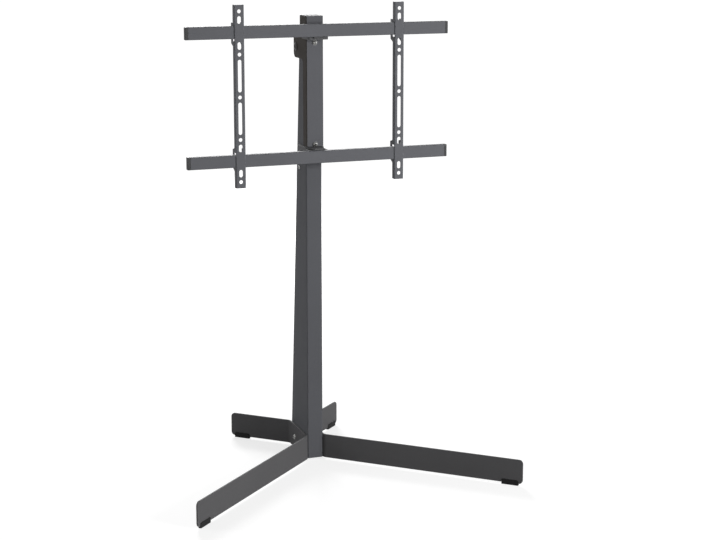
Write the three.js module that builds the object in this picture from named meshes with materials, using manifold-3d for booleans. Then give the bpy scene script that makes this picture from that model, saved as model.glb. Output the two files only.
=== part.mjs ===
import * as THREE from 'three';
import { mergeVertices } from 'three/addons/utils/BufferGeometryUtils.js';
import Module from 'manifold-3d';

const wasm = await Module();
wasm.setup();

// A floor stand that carries a flat screen on two upright rails.
// Millimetres, +Z up, the screen hangs on the -Y side.
// Pieces are drawn with the floor at z = 0, the column's middle at x = 0
// and the column's front face at y = 0.

// Shared clearances and samplings
const slideGap = 0.3;
const boltHoleGap = 0.3;
const cutOverrun = 10;
const arcSteps = 5;
const roundSides = 20;

// Column: one folded sheet, open at the rear, with rear edges that lean forward
const columnWidth = 40;
const columnSheet = 2.5;
const columnCornerRadius = 3;
const columnHeight = 1101.7;
const columnFootDepth = 133.5;
const columnTopDepth = 43.2;
const columnLip = 8;

// Cable cover: a plastic strip that snaps between the column's rear lips
const coverSheet = 1.8;
const coverWidth = 34;
const coverRibSheet = 1.5;
const coverBarb = 1.1;
const coverBarbLength = 2.4;
const coverFromFloor = 80;
const coverHeight = 920;

// Small screw in each side of the column
const sideScrewSize = { bolt: 5, head: 9, headHeight: 2.6, socket: 3 };
const sideScrewLength = 8;
const sideScrewFromFront = 50;
const sideScrewBelowBracket = 26;

// Base: two strips, each bent into a long front leg and a short rear leg
const stripHeight = 60;
const stripSheet = 4;
const stripCornerPast = 2;
const stripBendRadius = 12;
const legAngle = THREE.MathUtils.degToRad(43.2);
const frontLegLength = 520;
const rearLegLength = 169;
const legEndRadius = 10;

// Feet: pads that clip onto the lower edge of each leg
const footSole = 4.5;
const footCheek = 9;
const footCheekSheet = 1.2;
const footLength = 42;
const footFromEnd = 10.6;
const footTopRadius = 4;
const footSoleRadius = 1.2;

// Base bolts and the two threaded cross bars between the column's sides
const baseBoltFront = 40;
const baseBoltRear = 90;
const baseBoltLength = 20;
const crossbarDiameter = 16;

// Hardware: M8 at the base, the clamp and the lower bracket, M6 on the spine's face
const m8 = { bolt: 8, head: 13.6, headHeight: 4.4, socket: 5, nut: 13, nutHeight: 6.5, washer: 15 };
const m6 = { bolt: 6, head: 10.5, headHeight: 3.3, socket: 4, nut: 10, nutHeight: 5, washer: 12 };
const clampHeadHeight = 2.2;
const clampWasher = 21;
const washerSheet = 1.6;
const boltPastNut = 3;
const sleeveDiameter = 14;
const socketDepthShare = 0.6;
const headDomeShares = [
  [1, 0.3],
  [0.84, 0.76],
  [0.5, 1],
];

// Mount: how far the rails' middle hangs below the spine's top, and the two cross bars
const mountDrop = 183;
const barSpacing = 302;
const barLength = 656;
const barHeight = 30;
const barDepth = 15;
const barSheet = 1.5;
const barCornerRadius = 2;
const barFromColumn = 37.5;
const capRim = 7;
const capPlug = 16;
const capRimRadius = 1;

// Spine: a folded channel that hugs the column's front and carries the upper bracket
const spineSheet = 1.5;
const spineBendRadius = 2.5;
const spineStandoff = 8.5;
const spineFlangeDepth = 16;
const spineAboveBracket = 1;
const spineUpperBoltDrop = 16.5;
const spineLowerBoltRise = 5.2;
const spineNotchWidth = 7;
const spineTopDepth = 38;
const spineTopRadius = 2;
const earReach = 86;
const earHeight = 59;
const earDrop = 45.5;
const earRadius = 14;
const earNeckRadius = 12;
const clampFromEarEnd = 18;
const clampAboveEarFoot = 27;

// Bar brackets: plates that hold the bars, folded round the column and the spine
const bracketSheet = 4;
const bracketReach = 12.5;
const bracketSlopeStart = 2;
const bracketCheekRadius = 6;
const shelfFront = 41;
const shelfFrontWidth = 24;
const upperCheekBack = 12;
const upperPastBar = 8;
const lowerCheekBack = 54;
const lowerBoltFromFront = 30;
const lowerBoltUnderBar = 1.5;

// Rails: folded channels with closed hooks round both bars
const railFromMiddle = 200;
const railLength = 430;
const railWidth = 24;
const railSheet = 2;
const railBendRadius = 2.5;
const railFlangeDepth = 14;
const railHookDepth = 28.5;
const hookRearGap = 0.1;
const hookLoadedGap = 0.3;
const hookFreeGap = 5;
const hookCornerRadius = 2;
const hookOuterRise = 7;
const hookInnerRise = 11;
const hookInnerSlope = 6.6;
const lowHookInnerRise = 12;
const lowHookInnerSlope = 3.5;
const lowHookOuterRise = 2;
const lowHookOuterSlope = 8;
const railHole = 9;
const railRoundHolePitch = 100;
const railRoundHoles = 5;
const railShortSlot = 17.6;
const railShortSlotNear = 120;
const railShortSlotFar = 180;
const railLongSlot = 76;
const railLongSlotAt = 50;

// Heights and places that follow from the sizes above
const baseBottom = footSole;
const columnTop = baseBottom + columnHeight;
const spineTop = columnTop + slideGap + spineSheet;
const baseBoltHeight = baseBottom + stripHeight / 2;
const columnSide = columnWidth / 2;
const columnInside = columnSide - columnSheet;
const rearSlope = (columnTopDepth - columnFootDepth) / columnHeight;
const mountHeight = spineTop - mountDrop;
const topBarHeight = mountHeight + barSpacing / 2;
const lowBarHeight = mountHeight - barSpacing / 2;
const barBack = -barFromColumn;
const barFront = barBack - barDepth;
const railFront = barFront - slideGap - railSheet;
const spineSide = columnSide + spineSheet;
const spineFront = -spineStandoff - spineSheet;
const spineBottom = lowBarHeight + barHeight / 2 + bracketSheet + spineAboveBracket;
const upperBoltHeight = topBarHeight - barHeight / 2 - spineUpperBoltDrop;
const lowerBoltHeight = spineBottom + spineLowerBoltRise;
const earTop = spineTop - earDrop;
const earBottom = earTop - earHeight;
const clampHeight = earBottom + clampAboveEarFoot;
const clampDepth = earReach - clampFromEarEnd;
const bracketBoltHeight = lowBarHeight - lowerBoltUnderBar;
const bracketBottom = lowBarHeight - bracketReach;
const sideScrewHeight = bracketBottom - sideScrewBelowBracket;
const boltHole = m8.bolt / 2 + boltHoleGap;
const smallBoltHole = m6.bolt / 2 + boltHoleGap;

// Depth of the column's rear edge at a height above the floor.
function columnRearAt(height) {
  return columnFootDepth + rearSlope * (height - baseBottom);
}

// Materials
function paint(color, roughness = 0.55, metalness = 0.35) {
  return new THREE.MeshStandardMaterial({ color, roughness, metalness });
}
const anthracite = paint(0x5c5d62);
const anthraciteBar = paint(0x66676b);
const anthraciteLeg = paint(0x59595b);
const blackMetal = paint(0x3a3836, 0.5, 0.5);
const blackPlastic = paint(0x2b2b2d, 0.6, 0);
const zinc = paint(0xb9bbbd, 0.35, 0.9);

// Turns a closed geometry into a solid that can be joined and cut.
function solidFrom(geometry) {
  const bare = geometry.index ? geometry.toNonIndexed() : geometry.clone();
  bare.deleteAttribute('normal');
  bare.deleteAttribute('uv');
  const merged = mergeVertices(bare);
  const triVerts = [];
  for (let i = 0; i < merged.index.count; i += 3) {
    const [a, b, c] = [merged.index.getX(i), merged.index.getX(i + 1), merged.index.getX(i + 2)];
    if (a !== b && b !== c && c !== a) triVerts.push(a, b, c);
  }
  const vertProperties = merged.attributes.position.array;
  return new wasm.Manifold(
    new wasm.Mesh({ numProp: 3, vertProperties, triVerts: new Uint32Array(triVerts) }),
  );
}

function geometryFrom(solid) {
  const { numProp, vertProperties, triVerts } = solid.getMesh();
  const indexed = new THREE.BufferGeometry();
  const buffer = new THREE.InterleavedBuffer(vertProperties, numProp);
  indexed.setAttribute('position', new THREE.InterleavedBufferAttribute(buffer, 3, 0));
  indexed.setIndex(new THREE.BufferAttribute(triVerts, 1));
  const geometry = indexed.toNonIndexed();
  geometry.computeVertexNormals();
  return geometry;
}

function addAll(solids) {
  return solids.reduce((sum, solid) => sum.add(solid));
}

function cutAll(solid, tools) {
  return tools.reduce((rest, tool) => rest.subtract(tool), solid);
}

// Closed outline through corners [x, y, radius]; a corner without a radius stays sharp.
function outline(corners) {
  const points = [];
  corners.forEach(([x, y, radius = 0], i) => {
    const corner = new THREE.Vector2(x, y);
    if (radius <= 0) {
      points.push(corner);
      return;
    }
    const [beforeX, beforeY] = corners.at(i - 1);
    const [afterX, afterY] = corners[(i + 1) % corners.length];
    const back = new THREE.Vector2(beforeX, beforeY).sub(corner);
    const ahead = new THREE.Vector2(afterX, afterY).sub(corner);
    const room = Math.min(back.length(), ahead.length()) / 2;
    back.normalize();
    ahead.normalize();
    const half = Math.acos(THREE.MathUtils.clamp(back.dot(ahead), -1, 1)) / 2;
    const reach = Math.min(radius / Math.tan(half), room);
    const arcRadius = reach * Math.tan(half);
    const centre = back.clone().add(ahead).normalize();
    centre.multiplyScalar(arcRadius / Math.sin(half)).add(corner);
    const start = back.multiplyScalar(reach).add(corner).sub(centre).angle();
    const end = ahead.multiplyScalar(reach).add(corner).sub(centre).angle();
    const sweep = THREE.MathUtils.euclideanModulo(end - start + Math.PI, 2 * Math.PI) - Math.PI;
    for (let step = 0; step <= arcSteps; step += 1) {
      const angle = start + (sweep * step) / arcSteps;
      points.push(new THREE.Vector2(Math.cos(angle), Math.sin(angle)).multiplyScalar(arcRadius).add(centre));
    }
  });
  return new THREE.Shape(points);
}

function extrude(shape, length) {
  return new THREE.ExtrudeGeometry(shape, {
    depth: length,
    bevelEnabled: false,
    curveSegments: arcSteps * 2,
  });
}

// A plan outline (x, y) raised from one height to another.
function upright(shape, from, to) {
  return solidFrom(extrude(shape, to - from).translate(0, 0, from));
}

const sideView = new THREE.Matrix4().makeBasis(
  new THREE.Vector3(0, 1, 0),
  new THREE.Vector3(0, 0, 1),
  new THREE.Vector3(1, 0, 0),
);
const frontView = new THREE.Matrix4().makeBasis(
  new THREE.Vector3(1, 0, 0),
  new THREE.Vector3(0, 0, 1),
  new THREE.Vector3(0, -1, 0),
);

// A side outline (y, z) run across the width.
function across(shape, from, to) {
  return solidFrom(extrude(shape, to - from).translate(0, 0, from).applyMatrix4(sideView));
}

// A front outline (x, z) run through the depth.
function through(shape, from, to) {
  return solidFrom(extrude(shape, to - from).translate(0, 0, -to).applyMatrix4(frontView));
}

function block([x0, y0, z0], [x1, y1, z1]) {
  const geometry = new THREE.BoxGeometry(x1 - x0, y1 - y0, z1 - z0);
  return solidFrom(geometry.translate((x0 + x1) / 2, (y0 + y1) / 2, (z0 + z1) / 2));
}

// A round tool for holes, along X or along Y.
function pinAlongX(radius, from, to, y, z) {
  const geometry = new THREE.CylinderGeometry(radius, radius, to - from, roundSides);
  return solidFrom(geometry.rotateZ(Math.PI / 2).translate((from + to) / 2, y, z));
}

function pinAlongY(radius, from, to, x, z) {
  const geometry = new THREE.CylinderGeometry(radius, radius, to - from, roundSides);
  return solidFrom(geometry.translate(x, (from + to) / 2, z));
}

const model = new THREE.Group();
const stand = new THREE.Group();
const leftRail = new THREE.Group();
const rightRail = new THREE.Group();
model.add(stand, leftRail, rightRail);

function add(group, name, geometry, material) {
  const mesh = new THREE.Mesh(geometry, material);
  mesh.name = name;
  group.add(mesh);
  return mesh;
}

// Column shell
function columnShell() {
  const foot = baseBottom - cutOverrun;
  const head = columnTop + cutOverrun;
  const lipDepth = columnSheet * Math.hypot(1, rearSlope);
  const outside = across(
    outline([
      [0, baseBottom],
      [columnFootDepth, baseBottom],
      [columnTopDepth, columnTop],
      [0, columnTop],
    ]),
    -columnSide,
    columnSide,
  );
  const plan = upright(
    outline([
      [-columnSide, 0, columnCornerRadius],
      [columnSide, 0, columnCornerRadius],
      [columnSide, columnFootDepth + cutOverrun],
      [-columnSide, columnFootDepth + cutOverrun],
    ]),
    foot,
    head,
  );
  const inside = across(
    outline([
      [columnSheet, foot],
      [columnRearAt(foot) - lipDepth, foot],
      [columnRearAt(head) - lipDepth, head],
      [columnSheet, head],
    ]),
    -columnInside,
    columnInside,
  );
  const rearGap = columnSide - columnLip;
  const slot = block(
    [-rearGap, columnSheet, foot],
    [rearGap, columnFootDepth + cutOverrun, head],
  );
  const reach = columnSide + cutOverrun;
  const holes = [
    pinAlongX(boltHole, -reach, reach, baseBoltFront, baseBoltHeight),
    pinAlongX(boltHole, -reach, reach, baseBoltRear, baseBoltHeight),
    pinAlongX(boltHole, -reach, reach, lowerBoltFromFront, bracketBoltHeight),
    pinAlongX(
      sideScrewSize.bolt / 2 + boltHoleGap,
      -reach,
      reach,
      sideScrewFromFront,
      sideScrewHeight,
    ),
    pinAlongY(smallBoltHole, -cutOverrun, cutOverrun, 0, upperBoltHeight),
    pinAlongY(smallBoltHole, -cutOverrun, cutOverrun, 0, lowerBoltHeight),
  ];
  return geometryFrom(cutAll(outside.intersect(plan), [inside, slot, ...holes]));
}
add(stand, 'column_shell', columnShell(), anthracite);

// Cable cover: its section has two barbed ribs that snap behind the column's lips
function cableCover() {
  const ribOutside = columnSide - columnLip - slideGap;
  const ribInside = ribOutside - coverRibSheet;
  const barbTop = -columnSheet - slideGap;
  const barbEnd = barbTop - coverBarbLength;
  const half = [
    [coverWidth / 2, slideGap + coverSheet],
    [coverWidth / 2, slideGap],
    [ribOutside, slideGap],
    [ribOutside, barbTop],
    [ribOutside + coverBarb, barbTop],
    [ribOutside, barbEnd],
    [ribInside, barbEnd],
    [ribInside, slideGap],
  ];
  const mirrored = half.map(([x, y]) => [-x, y]).reverse();
  const lean = Math.atan(-rearSlope);
  const section = extrude(outline([...half, ...mirrored]), coverHeight / Math.cos(lean));
  return geometryFrom(solidFrom(section));
}
const cableCoverMesh = add(stand, 'column_cable_cover', cableCover(), blackPlastic);
cableCoverMesh.position.set(0, columnRearAt(coverFromFloor), coverFromFloor);
cableCoverMesh.rotation.x = Math.atan(-rearSlope);

// Middle line of one bent base strip, from the rear leg's end to the front leg's end
function stripPath(side) {
  const x = side * (columnSide + stripSheet / 2);
  const rearCorner = new THREE.Vector2(x, columnFootDepth + stripCornerPast);
  const frontCorner = new THREE.Vector2(x, -stripCornerPast);
  const rearRun = new THREE.Vector2(side * Math.cos(legAngle), Math.sin(legAngle));
  const frontRun = new THREE.Vector2(side * Math.cos(legAngle), -Math.sin(legAngle));
  return [
    rearRun.multiplyScalar(rearLegLength).add(rearCorner),
    rearCorner,
    frontCorner,
    frontRun.multiplyScalar(frontLegLength).add(frontCorner),
  ];
}

// Outline of a strip of even thickness along a path, with a bend radius at each corner.
function ribbon(path, thickness, bendRadius) {
  const edge = (side) =>
    path.map((point, i) => {
      const arriving = i > 0 ? point.clone().sub(path[i - 1]).normalize() : null;
      const leaving = i < path.length - 1 ? path[i + 1].clone().sub(point).normalize() : null;
      const first = arriving ?? leaving;
      const second = leaving ?? arriving;
      const firstNormal = new THREE.Vector2(-first.y, first.x);
      const secondNormal = new THREE.Vector2(-second.y, second.x);
      const mitre = firstNormal.clone().add(secondNormal).normalize();
      const offset = (side * thickness) / 2 / mitre.dot(firstNormal);
      const place = mitre.multiplyScalar(offset).add(point);
      const turn = first.cross(second);
      const insideBend = turn * side > 0;
      const radius = insideBend ? bendRadius : bendRadius + thickness;
      return [place.x, place.y, arriving && leaving ? radius : 0];
    });
  return outline([...edge(1), ...edge(-1).reverse()]);
}

// Tool that rounds the two outer corners of a leg's end.
function legEndTool(end, before) {
  const run = end.clone().sub(before).normalize();
  const top = baseBottom + stripHeight;
  const width = stripSheet + 2 * cutOverrun;
  const waste = extrude(
    outline([
      [-legEndRadius, baseBottom - cutOverrun],
      [cutOverrun, baseBottom - cutOverrun],
      [cutOverrun, top + cutOverrun],
      [-legEndRadius, top + cutOverrun],
    ]),
    width,
  );
  const plate = extrude(
    outline([
      [-legEndRadius - stripHeight, baseBottom],
      [0, baseBottom, legEndRadius],
      [0, top, legEndRadius],
      [-legEndRadius - stripHeight, top],
    ]),
    width + 2 * cutOverrun,
  );
  const upright = new THREE.Matrix4().makeBasis(
    new THREE.Vector3(run.x, run.y, 0),
    new THREE.Vector3(0, 0, 1),
    new THREE.Vector3(run.y, -run.x, 0),
  );
  upright.setPosition(end.x, end.y, 0);
  const toSolid = (geometry, depth) =>
    solidFrom(geometry.translate(0, 0, -depth / 2).applyMatrix4(upright));
  return toSolid(waste, width).subtract(toSolid(plate, width + 2 * cutOverrun));
}

function baseStrip(side) {
  const path = stripPath(side);
  const strip = upright(
    ribbon(path, stripSheet, stripBendRadius),
    baseBottom,
    baseBottom + stripHeight,
  );
  const near = side * (columnSide - cutOverrun);
  const far = side * (columnSide + stripSheet + cutOverrun);
  const hole = (y) =>
    pinAlongX(boltHole, Math.min(near, far), Math.max(near, far), y, baseBoltHeight);
  return geometryFrom(
    cutAll(strip, [
      legEndTool(path[0], path[1]),
      legEndTool(path[3], path[2]),
      hole(baseBoltFront),
      hole(baseBoltRear),
    ]),
  );
}

// Foot pad, drawn along +X with the leg's end at the origin
function footPad() {
  const top = footSole + footCheek;
  const [start, end] = [-footFromEnd - footLength, -footFromEnd];
  const slotSide = stripSheet / 2 + slideGap;
  const body = through(
    outline([
      [start, 0, footSoleRadius],
      [end, 0, footSoleRadius],
      [end, top, footTopRadius],
      [start, top, footTopRadius],
    ]),
    -slotSide - footCheekSheet,
    slotSide + footCheekSheet,
  );
  const slot = block(
    [start - cutOverrun, -slotSide, footSole],
    [end + cutOverrun, slotSide, top + cutOverrun],
  );
  return geometryFrom(body.subtract(slot));
}

const footGeometry = footPad();
for (const [side, hand] of [[-1, 'left'], [1, 'right']]) {
  add(stand, `base_strip_${hand}`, baseStrip(side), anthraciteLeg);
  const [rearEnd, rearCorner, frontCorner, frontEnd] = stripPath(side);
  const legs = [['front', frontEnd, frontCorner], ['rear', rearEnd, rearCorner]];
  for (const [which, end, corner] of legs) {
    const foot = add(stand, `foot_${which}_${hand}`, footGeometry, blackPlastic);
    foot.position.set(end.x, end.y, 0);
    foot.rotation.z = end.clone().sub(corner).angle();
  }
}

// Hardware, drawn along +Y with a bolt's head or a nut's outer face toward +Y
function bolt(size, length, headHeight = size.headHeight) {
  const dome = headDomeShares.map(([radiusShare, heightShare]) => [
    (radiusShare * size.head) / 2,
    heightShare * headHeight,
  ]);
  const profile = [
    [0, -length],
    [size.bolt / 2, -length],
    [size.bolt / 2, 0],
    [size.head / 2, 0],
    ...dome,
    [0, headHeight],
  ].map(([radius, height]) => new THREE.Vector2(radius, height));
  const body = solidFrom(new THREE.LatheGeometry(profile, roundSides));
  const keyRadius = size.socket / Math.sqrt(3);
  const keyLength = 2 * socketDepthShare * headHeight;
  const key = new THREE.CylinderGeometry(keyRadius, keyRadius, keyLength, 6);
  return geometryFrom(body.subtract(solidFrom(key.translate(0, headHeight, 0))));
}

function ring(outerDiameter, hole, height) {
  const profile = [
    [hole, 0],
    [outerDiameter / 2, 0],
    [outerDiameter / 2, height],
    [hole, height],
    [hole, 0],
  ].map(([radius, y]) => new THREE.Vector2(radius, y));
  return geometryFrom(solidFrom(new THREE.LatheGeometry(profile, roundSides)));
}

function nut(size, hole) {
  const radius = size.nut / Math.sqrt(3);
  const hexagon = new THREE.CylinderGeometry(radius, radius, size.nutHeight, 6);
  const bore = new THREE.CylinderGeometry(hole, hole, size.nutHeight + cutOverrun, roundSides);
  const body = solidFrom(hexagon).subtract(solidFrom(bore));
  return geometryFrom(body).translate(0, size.nutHeight / 2, 0);
}

const towardFront = Math.PI;
const towardLeft = Math.PI / 2;
const towardRight = -Math.PI / 2;

function fit(name, geometry, material, [x, y, z], turn) {
  const mesh = add(stand, name, geometry, material);
  mesh.position.set(x, y, z);
  mesh.rotation.z = turn;
}

// Base bolts run through strip and column into the cross bars
const baseBolt = bolt(m8, baseBoltLength);
const crossbar = ring(crossbarDiameter, boltHole, 2 * columnInside);
const stripFace = columnSide + stripSheet;
for (const [which, y] of [['front', baseBoltFront], ['rear', baseBoltRear]]) {
  fit(`base_crossbar_${which}`, crossbar, zinc, [columnInside, y, baseBoltHeight], towardLeft);
  fit(`base_bolt_left_${which}`, baseBolt, zinc, [-stripFace, y, baseBoltHeight], towardLeft);
  fit(`base_bolt_right_${which}`, baseBolt, zinc, [stripFace, y, baseBoltHeight], towardRight);
}

// Side screws
const sideScrew = bolt(sideScrewSize, sideScrewLength);
const sideScrewPlace = (side) => [side * columnSide, sideScrewFromFront, sideScrewHeight];
fit('side_screw_left', sideScrew, zinc, sideScrewPlace(-1), towardLeft);
fit('side_screw_right', sideScrew, zinc, sideScrewPlace(1), towardRight);

// Spine: the channel's side outline carries the two ears that reach behind the column
function mountSpine() {
  const sides = across(
    outline([
      [spineFront, spineBottom],
      [spineFlangeDepth, spineBottom],
      [spineFlangeDepth, earBottom, earNeckRadius],
      [earReach, earBottom, earRadius],
      [earReach, earTop, earRadius],
      [spineTopDepth, earTop, spineTopRadius],
      [spineTopDepth, spineTop, spineTopRadius],
      [spineFront, spineTop, spineTopRadius],
    ]),
    -spineSide,
    spineSide,
  );
  const plan = upright(
    outline([
      [-spineSide, spineFront, spineBendRadius],
      [spineSide, spineFront, spineBendRadius],
      [spineSide, earReach + cutOverrun],
      [-spineSide, earReach + cutOverrun],
    ]),
    spineBottom - cutOverrun,
    spineTop + cutOverrun,
  );
  // The web's top folds back over the column's open end.
  const hollow = block(
    [-columnSide, spineFront + spineSheet, spineBottom - cutOverrun],
    [columnSide, earReach + cutOverrun, spineTop - spineSheet],
  );
  const notchSide = spineNotchWidth / 2;
  const webFar = spineFront + spineSheet + cutOverrun;
  const notch = through(
    outline([
      [-notchSide, spineBottom - cutOverrun],
      [notchSide, spineBottom - cutOverrun],
      [notchSide, lowerBoltHeight + notchSide, notchSide],
      [-notchSide, lowerBoltHeight + notchSide, notchSide],
    ]),
    spineFront - cutOverrun,
    webFar,
  );
  const upperHole = pinAlongY(smallBoltHole, spineFront - cutOverrun, webFar, 0, upperBoltHeight);
  const clampHole = pinAlongX(
    boltHole,
    -spineSide - cutOverrun,
    spineSide + cutOverrun,
    clampDepth,
    clampHeight,
  );
  return geometryFrom(cutAll(sides.intersect(plan), [hollow, notch, upperHole, clampHole]));
}
add(stand, 'mount_spine', mountSpine(), anthracite);

// Spine bolts: washer under the head, spacer behind the face, nut inside the column
const spineBoltGrip = washerSheet + spineSheet + spineStandoff + columnSheet;
const spineBolt = bolt(m6, spineBoltGrip + m6.nutHeight + boltPastNut);
const spineWasher = ring(m6.washer, smallBoltHole, washerSheet);
const spineSpacer = ring(m6.washer, smallBoltHole, spineStandoff);
const spineNut = nut(m6, smallBoltHole);
for (const [which, z] of [['upper', upperBoltHeight], ['lower', lowerBoltHeight]]) {
  fit(`spine_bolt_${which}`, spineBolt, zinc, [0, spineFront - washerSheet, z], towardFront);
  fit(`spine_washer_${which}`, spineWasher, zinc, [0, spineFront, z], towardFront);
  fit(`spine_spacer_${which}`, spineSpacer, zinc, [0, 0, z], towardFront);
  fit(`spine_nut_${which}`, spineNut, zinc, [0, columnSheet, z], 0);
}

// Cross bolt with a washer on each side, a nut on the right and a sleeve in the middle
function crossBolt({ prefix, grip, sleeveSide, washer, headHeight, y, z }) {
  const seat = grip + washerSheet;
  const length = 2 * seat + m8.nutHeight + boltPastNut;
  const disc = ring(washer, boltHole, washerSheet);
  const sleeve = ring(sleeveDiameter, boltHole, 2 * sleeveSide);
  fit(`${prefix}_bolt`, bolt(m8, length, headHeight), blackMetal, [-seat, y, z], towardLeft);
  fit(`${prefix}_washer_left`, disc, blackMetal, [-grip, y, z], towardLeft);
  fit(`${prefix}_washer_right`, disc, blackMetal, [grip, y, z], towardRight);
  fit(`${prefix}_nut`, nut(m8, boltHole), blackMetal, [seat, y, z], towardRight);
  fit(`${prefix}_sleeve`, sleeve, blackMetal, [sleeveSide, y, z], towardLeft);
}
crossBolt({
  prefix: 'clamp',
  grip: spineSide,
  sleeveSide: columnSide,
  washer: clampWasher,
  headHeight: clampHeadHeight,
  y: clampDepth,
  z: clampHeight,
});
crossBolt({
  prefix: 'lower_bracket',
  grip: columnSide + bracketSheet,
  sleeveSide: columnInside,
  washer: m8.washer,
  headHeight: m8.headHeight,
  y: lowerBoltFromFront,
  z: bracketBoltHeight,
});

// Bar bracket: a U of plate in plan whose web backs the bar, and a shelf on one face of the bar.
// toward is 1 where the shelf lies on top of the bar and -1 where it lies under it; webPast and
// cheekPast say how far the web and the cheeks run past that face.
function barBracket({ bar, toward, inside, hugs, cheekBack, webPast, cheekPast }) {
  const outside = inside + bracketSheet;
  const barFace = bar + (toward * barHeight) / 2;
  const shelfFar = barFace + toward * bracketSheet;
  const cheekFar = barFace + toward * cheekPast;
  const webFar = barFace + toward * webPast;
  const away = bar - toward * bracketReach;
  const webBack = barBack + bracketSheet;
  const slopeStart = hugs - bracketSlopeStart;
  const sides = across(
    outline([
      [barBack, away],
      [cheekBack, away, bracketCheekRadius],
      [cheekBack, cheekFar, bracketCheekRadius],
      [slopeStart, cheekFar],
      [slopeStart - Math.abs(cheekFar - webFar), webFar],
      [barBack, webFar],
    ]),
    -outside,
    outside,
  );
  const [low, high] = [Math.min(away, cheekFar), Math.max(away, cheekFar)];
  const hollow = block(
    [-inside, webBack, low - cutOverrun],
    [inside, cheekBack + cutOverrun, high + cutOverrun],
  );
  const shelf = upright(
    outline([
      [-shelfFrontWidth / 2, -shelfFront],
      [shelfFrontWidth / 2, -shelfFront],
      [outside, hugs - slideGap],
      [-outside, hugs - slideGap],
    ]),
    Math.min(barFace, shelfFar),
    Math.max(barFace, shelfFar),
  );
  return sides.subtract(hollow).add(shelf);
}
const upperBracket = barBracket({
  bar: topBarHeight,
  toward: -1,
  inside: spineSide,
  hugs: spineFront,
  cheekBack: upperCheekBack,
  webPast: upperPastBar,
  cheekPast: upperPastBar,
});
add(stand, 'bar_bracket_upper', geometryFrom(upperBracket), anthracite);

const lowerBracket = barBracket({
  bar: lowBarHeight,
  toward: 1,
  inside: columnSide,
  hugs: 0,
  cheekBack: lowerCheekBack,
  webPast: 0,
  cheekPast: bracketSheet,
});
const bracketBoltReach = columnSide + bracketSheet + cutOverrun;
const bracketBoltHole = pinAlongX(
  boltHole,
  -bracketBoltReach,
  bracketBoltReach,
  lowerBoltFromFront,
  bracketBoltHeight,
);
add(stand, 'bar_bracket_lower', geometryFrom(lowerBracket.subtract(bracketBoltHole)), anthracite);

// Cross bars: rectangular tubes with a plastic cap in each end
function barSection(inset, radius) {
  const [halfDepth, halfHeight] = [barDepth / 2 - inset, barHeight / 2 - inset];
  return outline([
    [-halfDepth, -halfHeight, radius],
    [halfDepth, -halfHeight, radius],
    [halfDepth, halfHeight, radius],
    [-halfDepth, halfHeight, radius],
  ]);
}
const tubeEnd = barLength / 2 - capRim;
const tubeInsideRadius = barCornerRadius - barSheet;
const plugInset = barSheet + slideGap;

function barTube() {
  const outside = across(barSection(0, barCornerRadius), -tubeEnd, tubeEnd);
  const reach = tubeEnd + cutOverrun;
  return geometryFrom(outside.subtract(across(barSection(barSheet, tubeInsideRadius), -reach, reach)));
}

// The cap's rim ends in a narrower step, which rounds its outer edge.
function barCap() {
  const rim = across(barSection(0, barCornerRadius), 0, capRim - capRimRadius);
  const face = across(barSection(capRimRadius, barCornerRadius), 0, capRim);
  const plug = across(barSection(plugInset, tubeInsideRadius), -capPlug, capRim / 2);
  return geometryFrom(addAll([rim, face, plug]));
}

const tubeGeometry = barTube();
const capGeometry = barCap();
const barMiddle = barBack - barDepth / 2;
for (const [which, z] of [['top', topBarHeight], ['bottom', lowBarHeight]]) {
  const bar = add(stand, `${which}_bar`, tubeGeometry, anthraciteBar);
  bar.position.set(0, barMiddle, z);
  const right = add(stand, `${which}_bar_cap_right`, capGeometry, blackPlastic);
  right.position.set(tubeEnd, barMiddle, z);
  const left = add(stand, `${which}_bar_cap_left`, capGeometry, blackPlastic);
  left.position.set(-tubeEnd, barMiddle, z);
  left.rotation.z = Math.PI;
}

// Rail: drawn on its own middle line, its side outline carries the two hooks
function railShell() {
  const front = railFront;
  const flangeBack = front + railFlangeDepth;
  const hookBack = front + railHookDepth;
  const half = railLength / 2;
  const barOuter = barSpacing / 2 + barHeight / 2;
  const barInner = barSpacing / 2 - barHeight / 2;
  const topHookStart = barInner - hookInnerRise;
  const lowHookStart = -barInner + lowHookInnerRise;
  const lowHookEnd = -barOuter - lowHookOuterRise;
  const sides = across(
    outline([
      [front, -half],
      [flangeBack, -half],
      [flangeBack, lowHookEnd - lowHookOuterSlope],
      [hookBack, lowHookEnd],
      [hookBack, lowHookStart],
      [flangeBack, lowHookStart + lowHookInnerSlope],
      [flangeBack, topHookStart - hookInnerSlope],
      [hookBack, topHookStart],
      [hookBack, barOuter + hookOuterRise, hookCornerRadius],
      [flangeBack, barOuter + hookOuterRise],
      [flangeBack, half],
      [front, half],
    ]),
    -railWidth / 2,
    railWidth / 2,
  );
  const plan = upright(
    outline([
      [-railWidth / 2, front, railBendRadius],
      [railWidth / 2, front, railBendRadius],
      [railWidth / 2, hookBack + cutOverrun],
      [-railWidth / 2, hookBack + cutOverrun],
    ]),
    -half - cutOverrun,
    half + cutOverrun,
  );
  const inside = railWidth / 2 - railSheet;
  const plateBack = front + railSheet;
  const hollow = block(
    [-inside, plateBack, -half - cutOverrun],
    [inside, hookBack + cutOverrun, half + cutOverrun],
  );
  const windowBack = barBack + hookRearGap;
  const reach = railWidth / 2 + cutOverrun;
  const windows = [
    block(
      [-reach, plateBack, barInner - hookFreeGap],
      [reach, windowBack, barOuter + hookLoadedGap],
    ),
    block(
      [-reach, plateBack, -barOuter - hookLoadedGap],
      [reach, windowBack, -barInner + hookFreeGap],
    ),
  ];
  return cutAll(sides.intersect(plan), [hollow, ...windows, ...railHoles()]);
}

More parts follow.
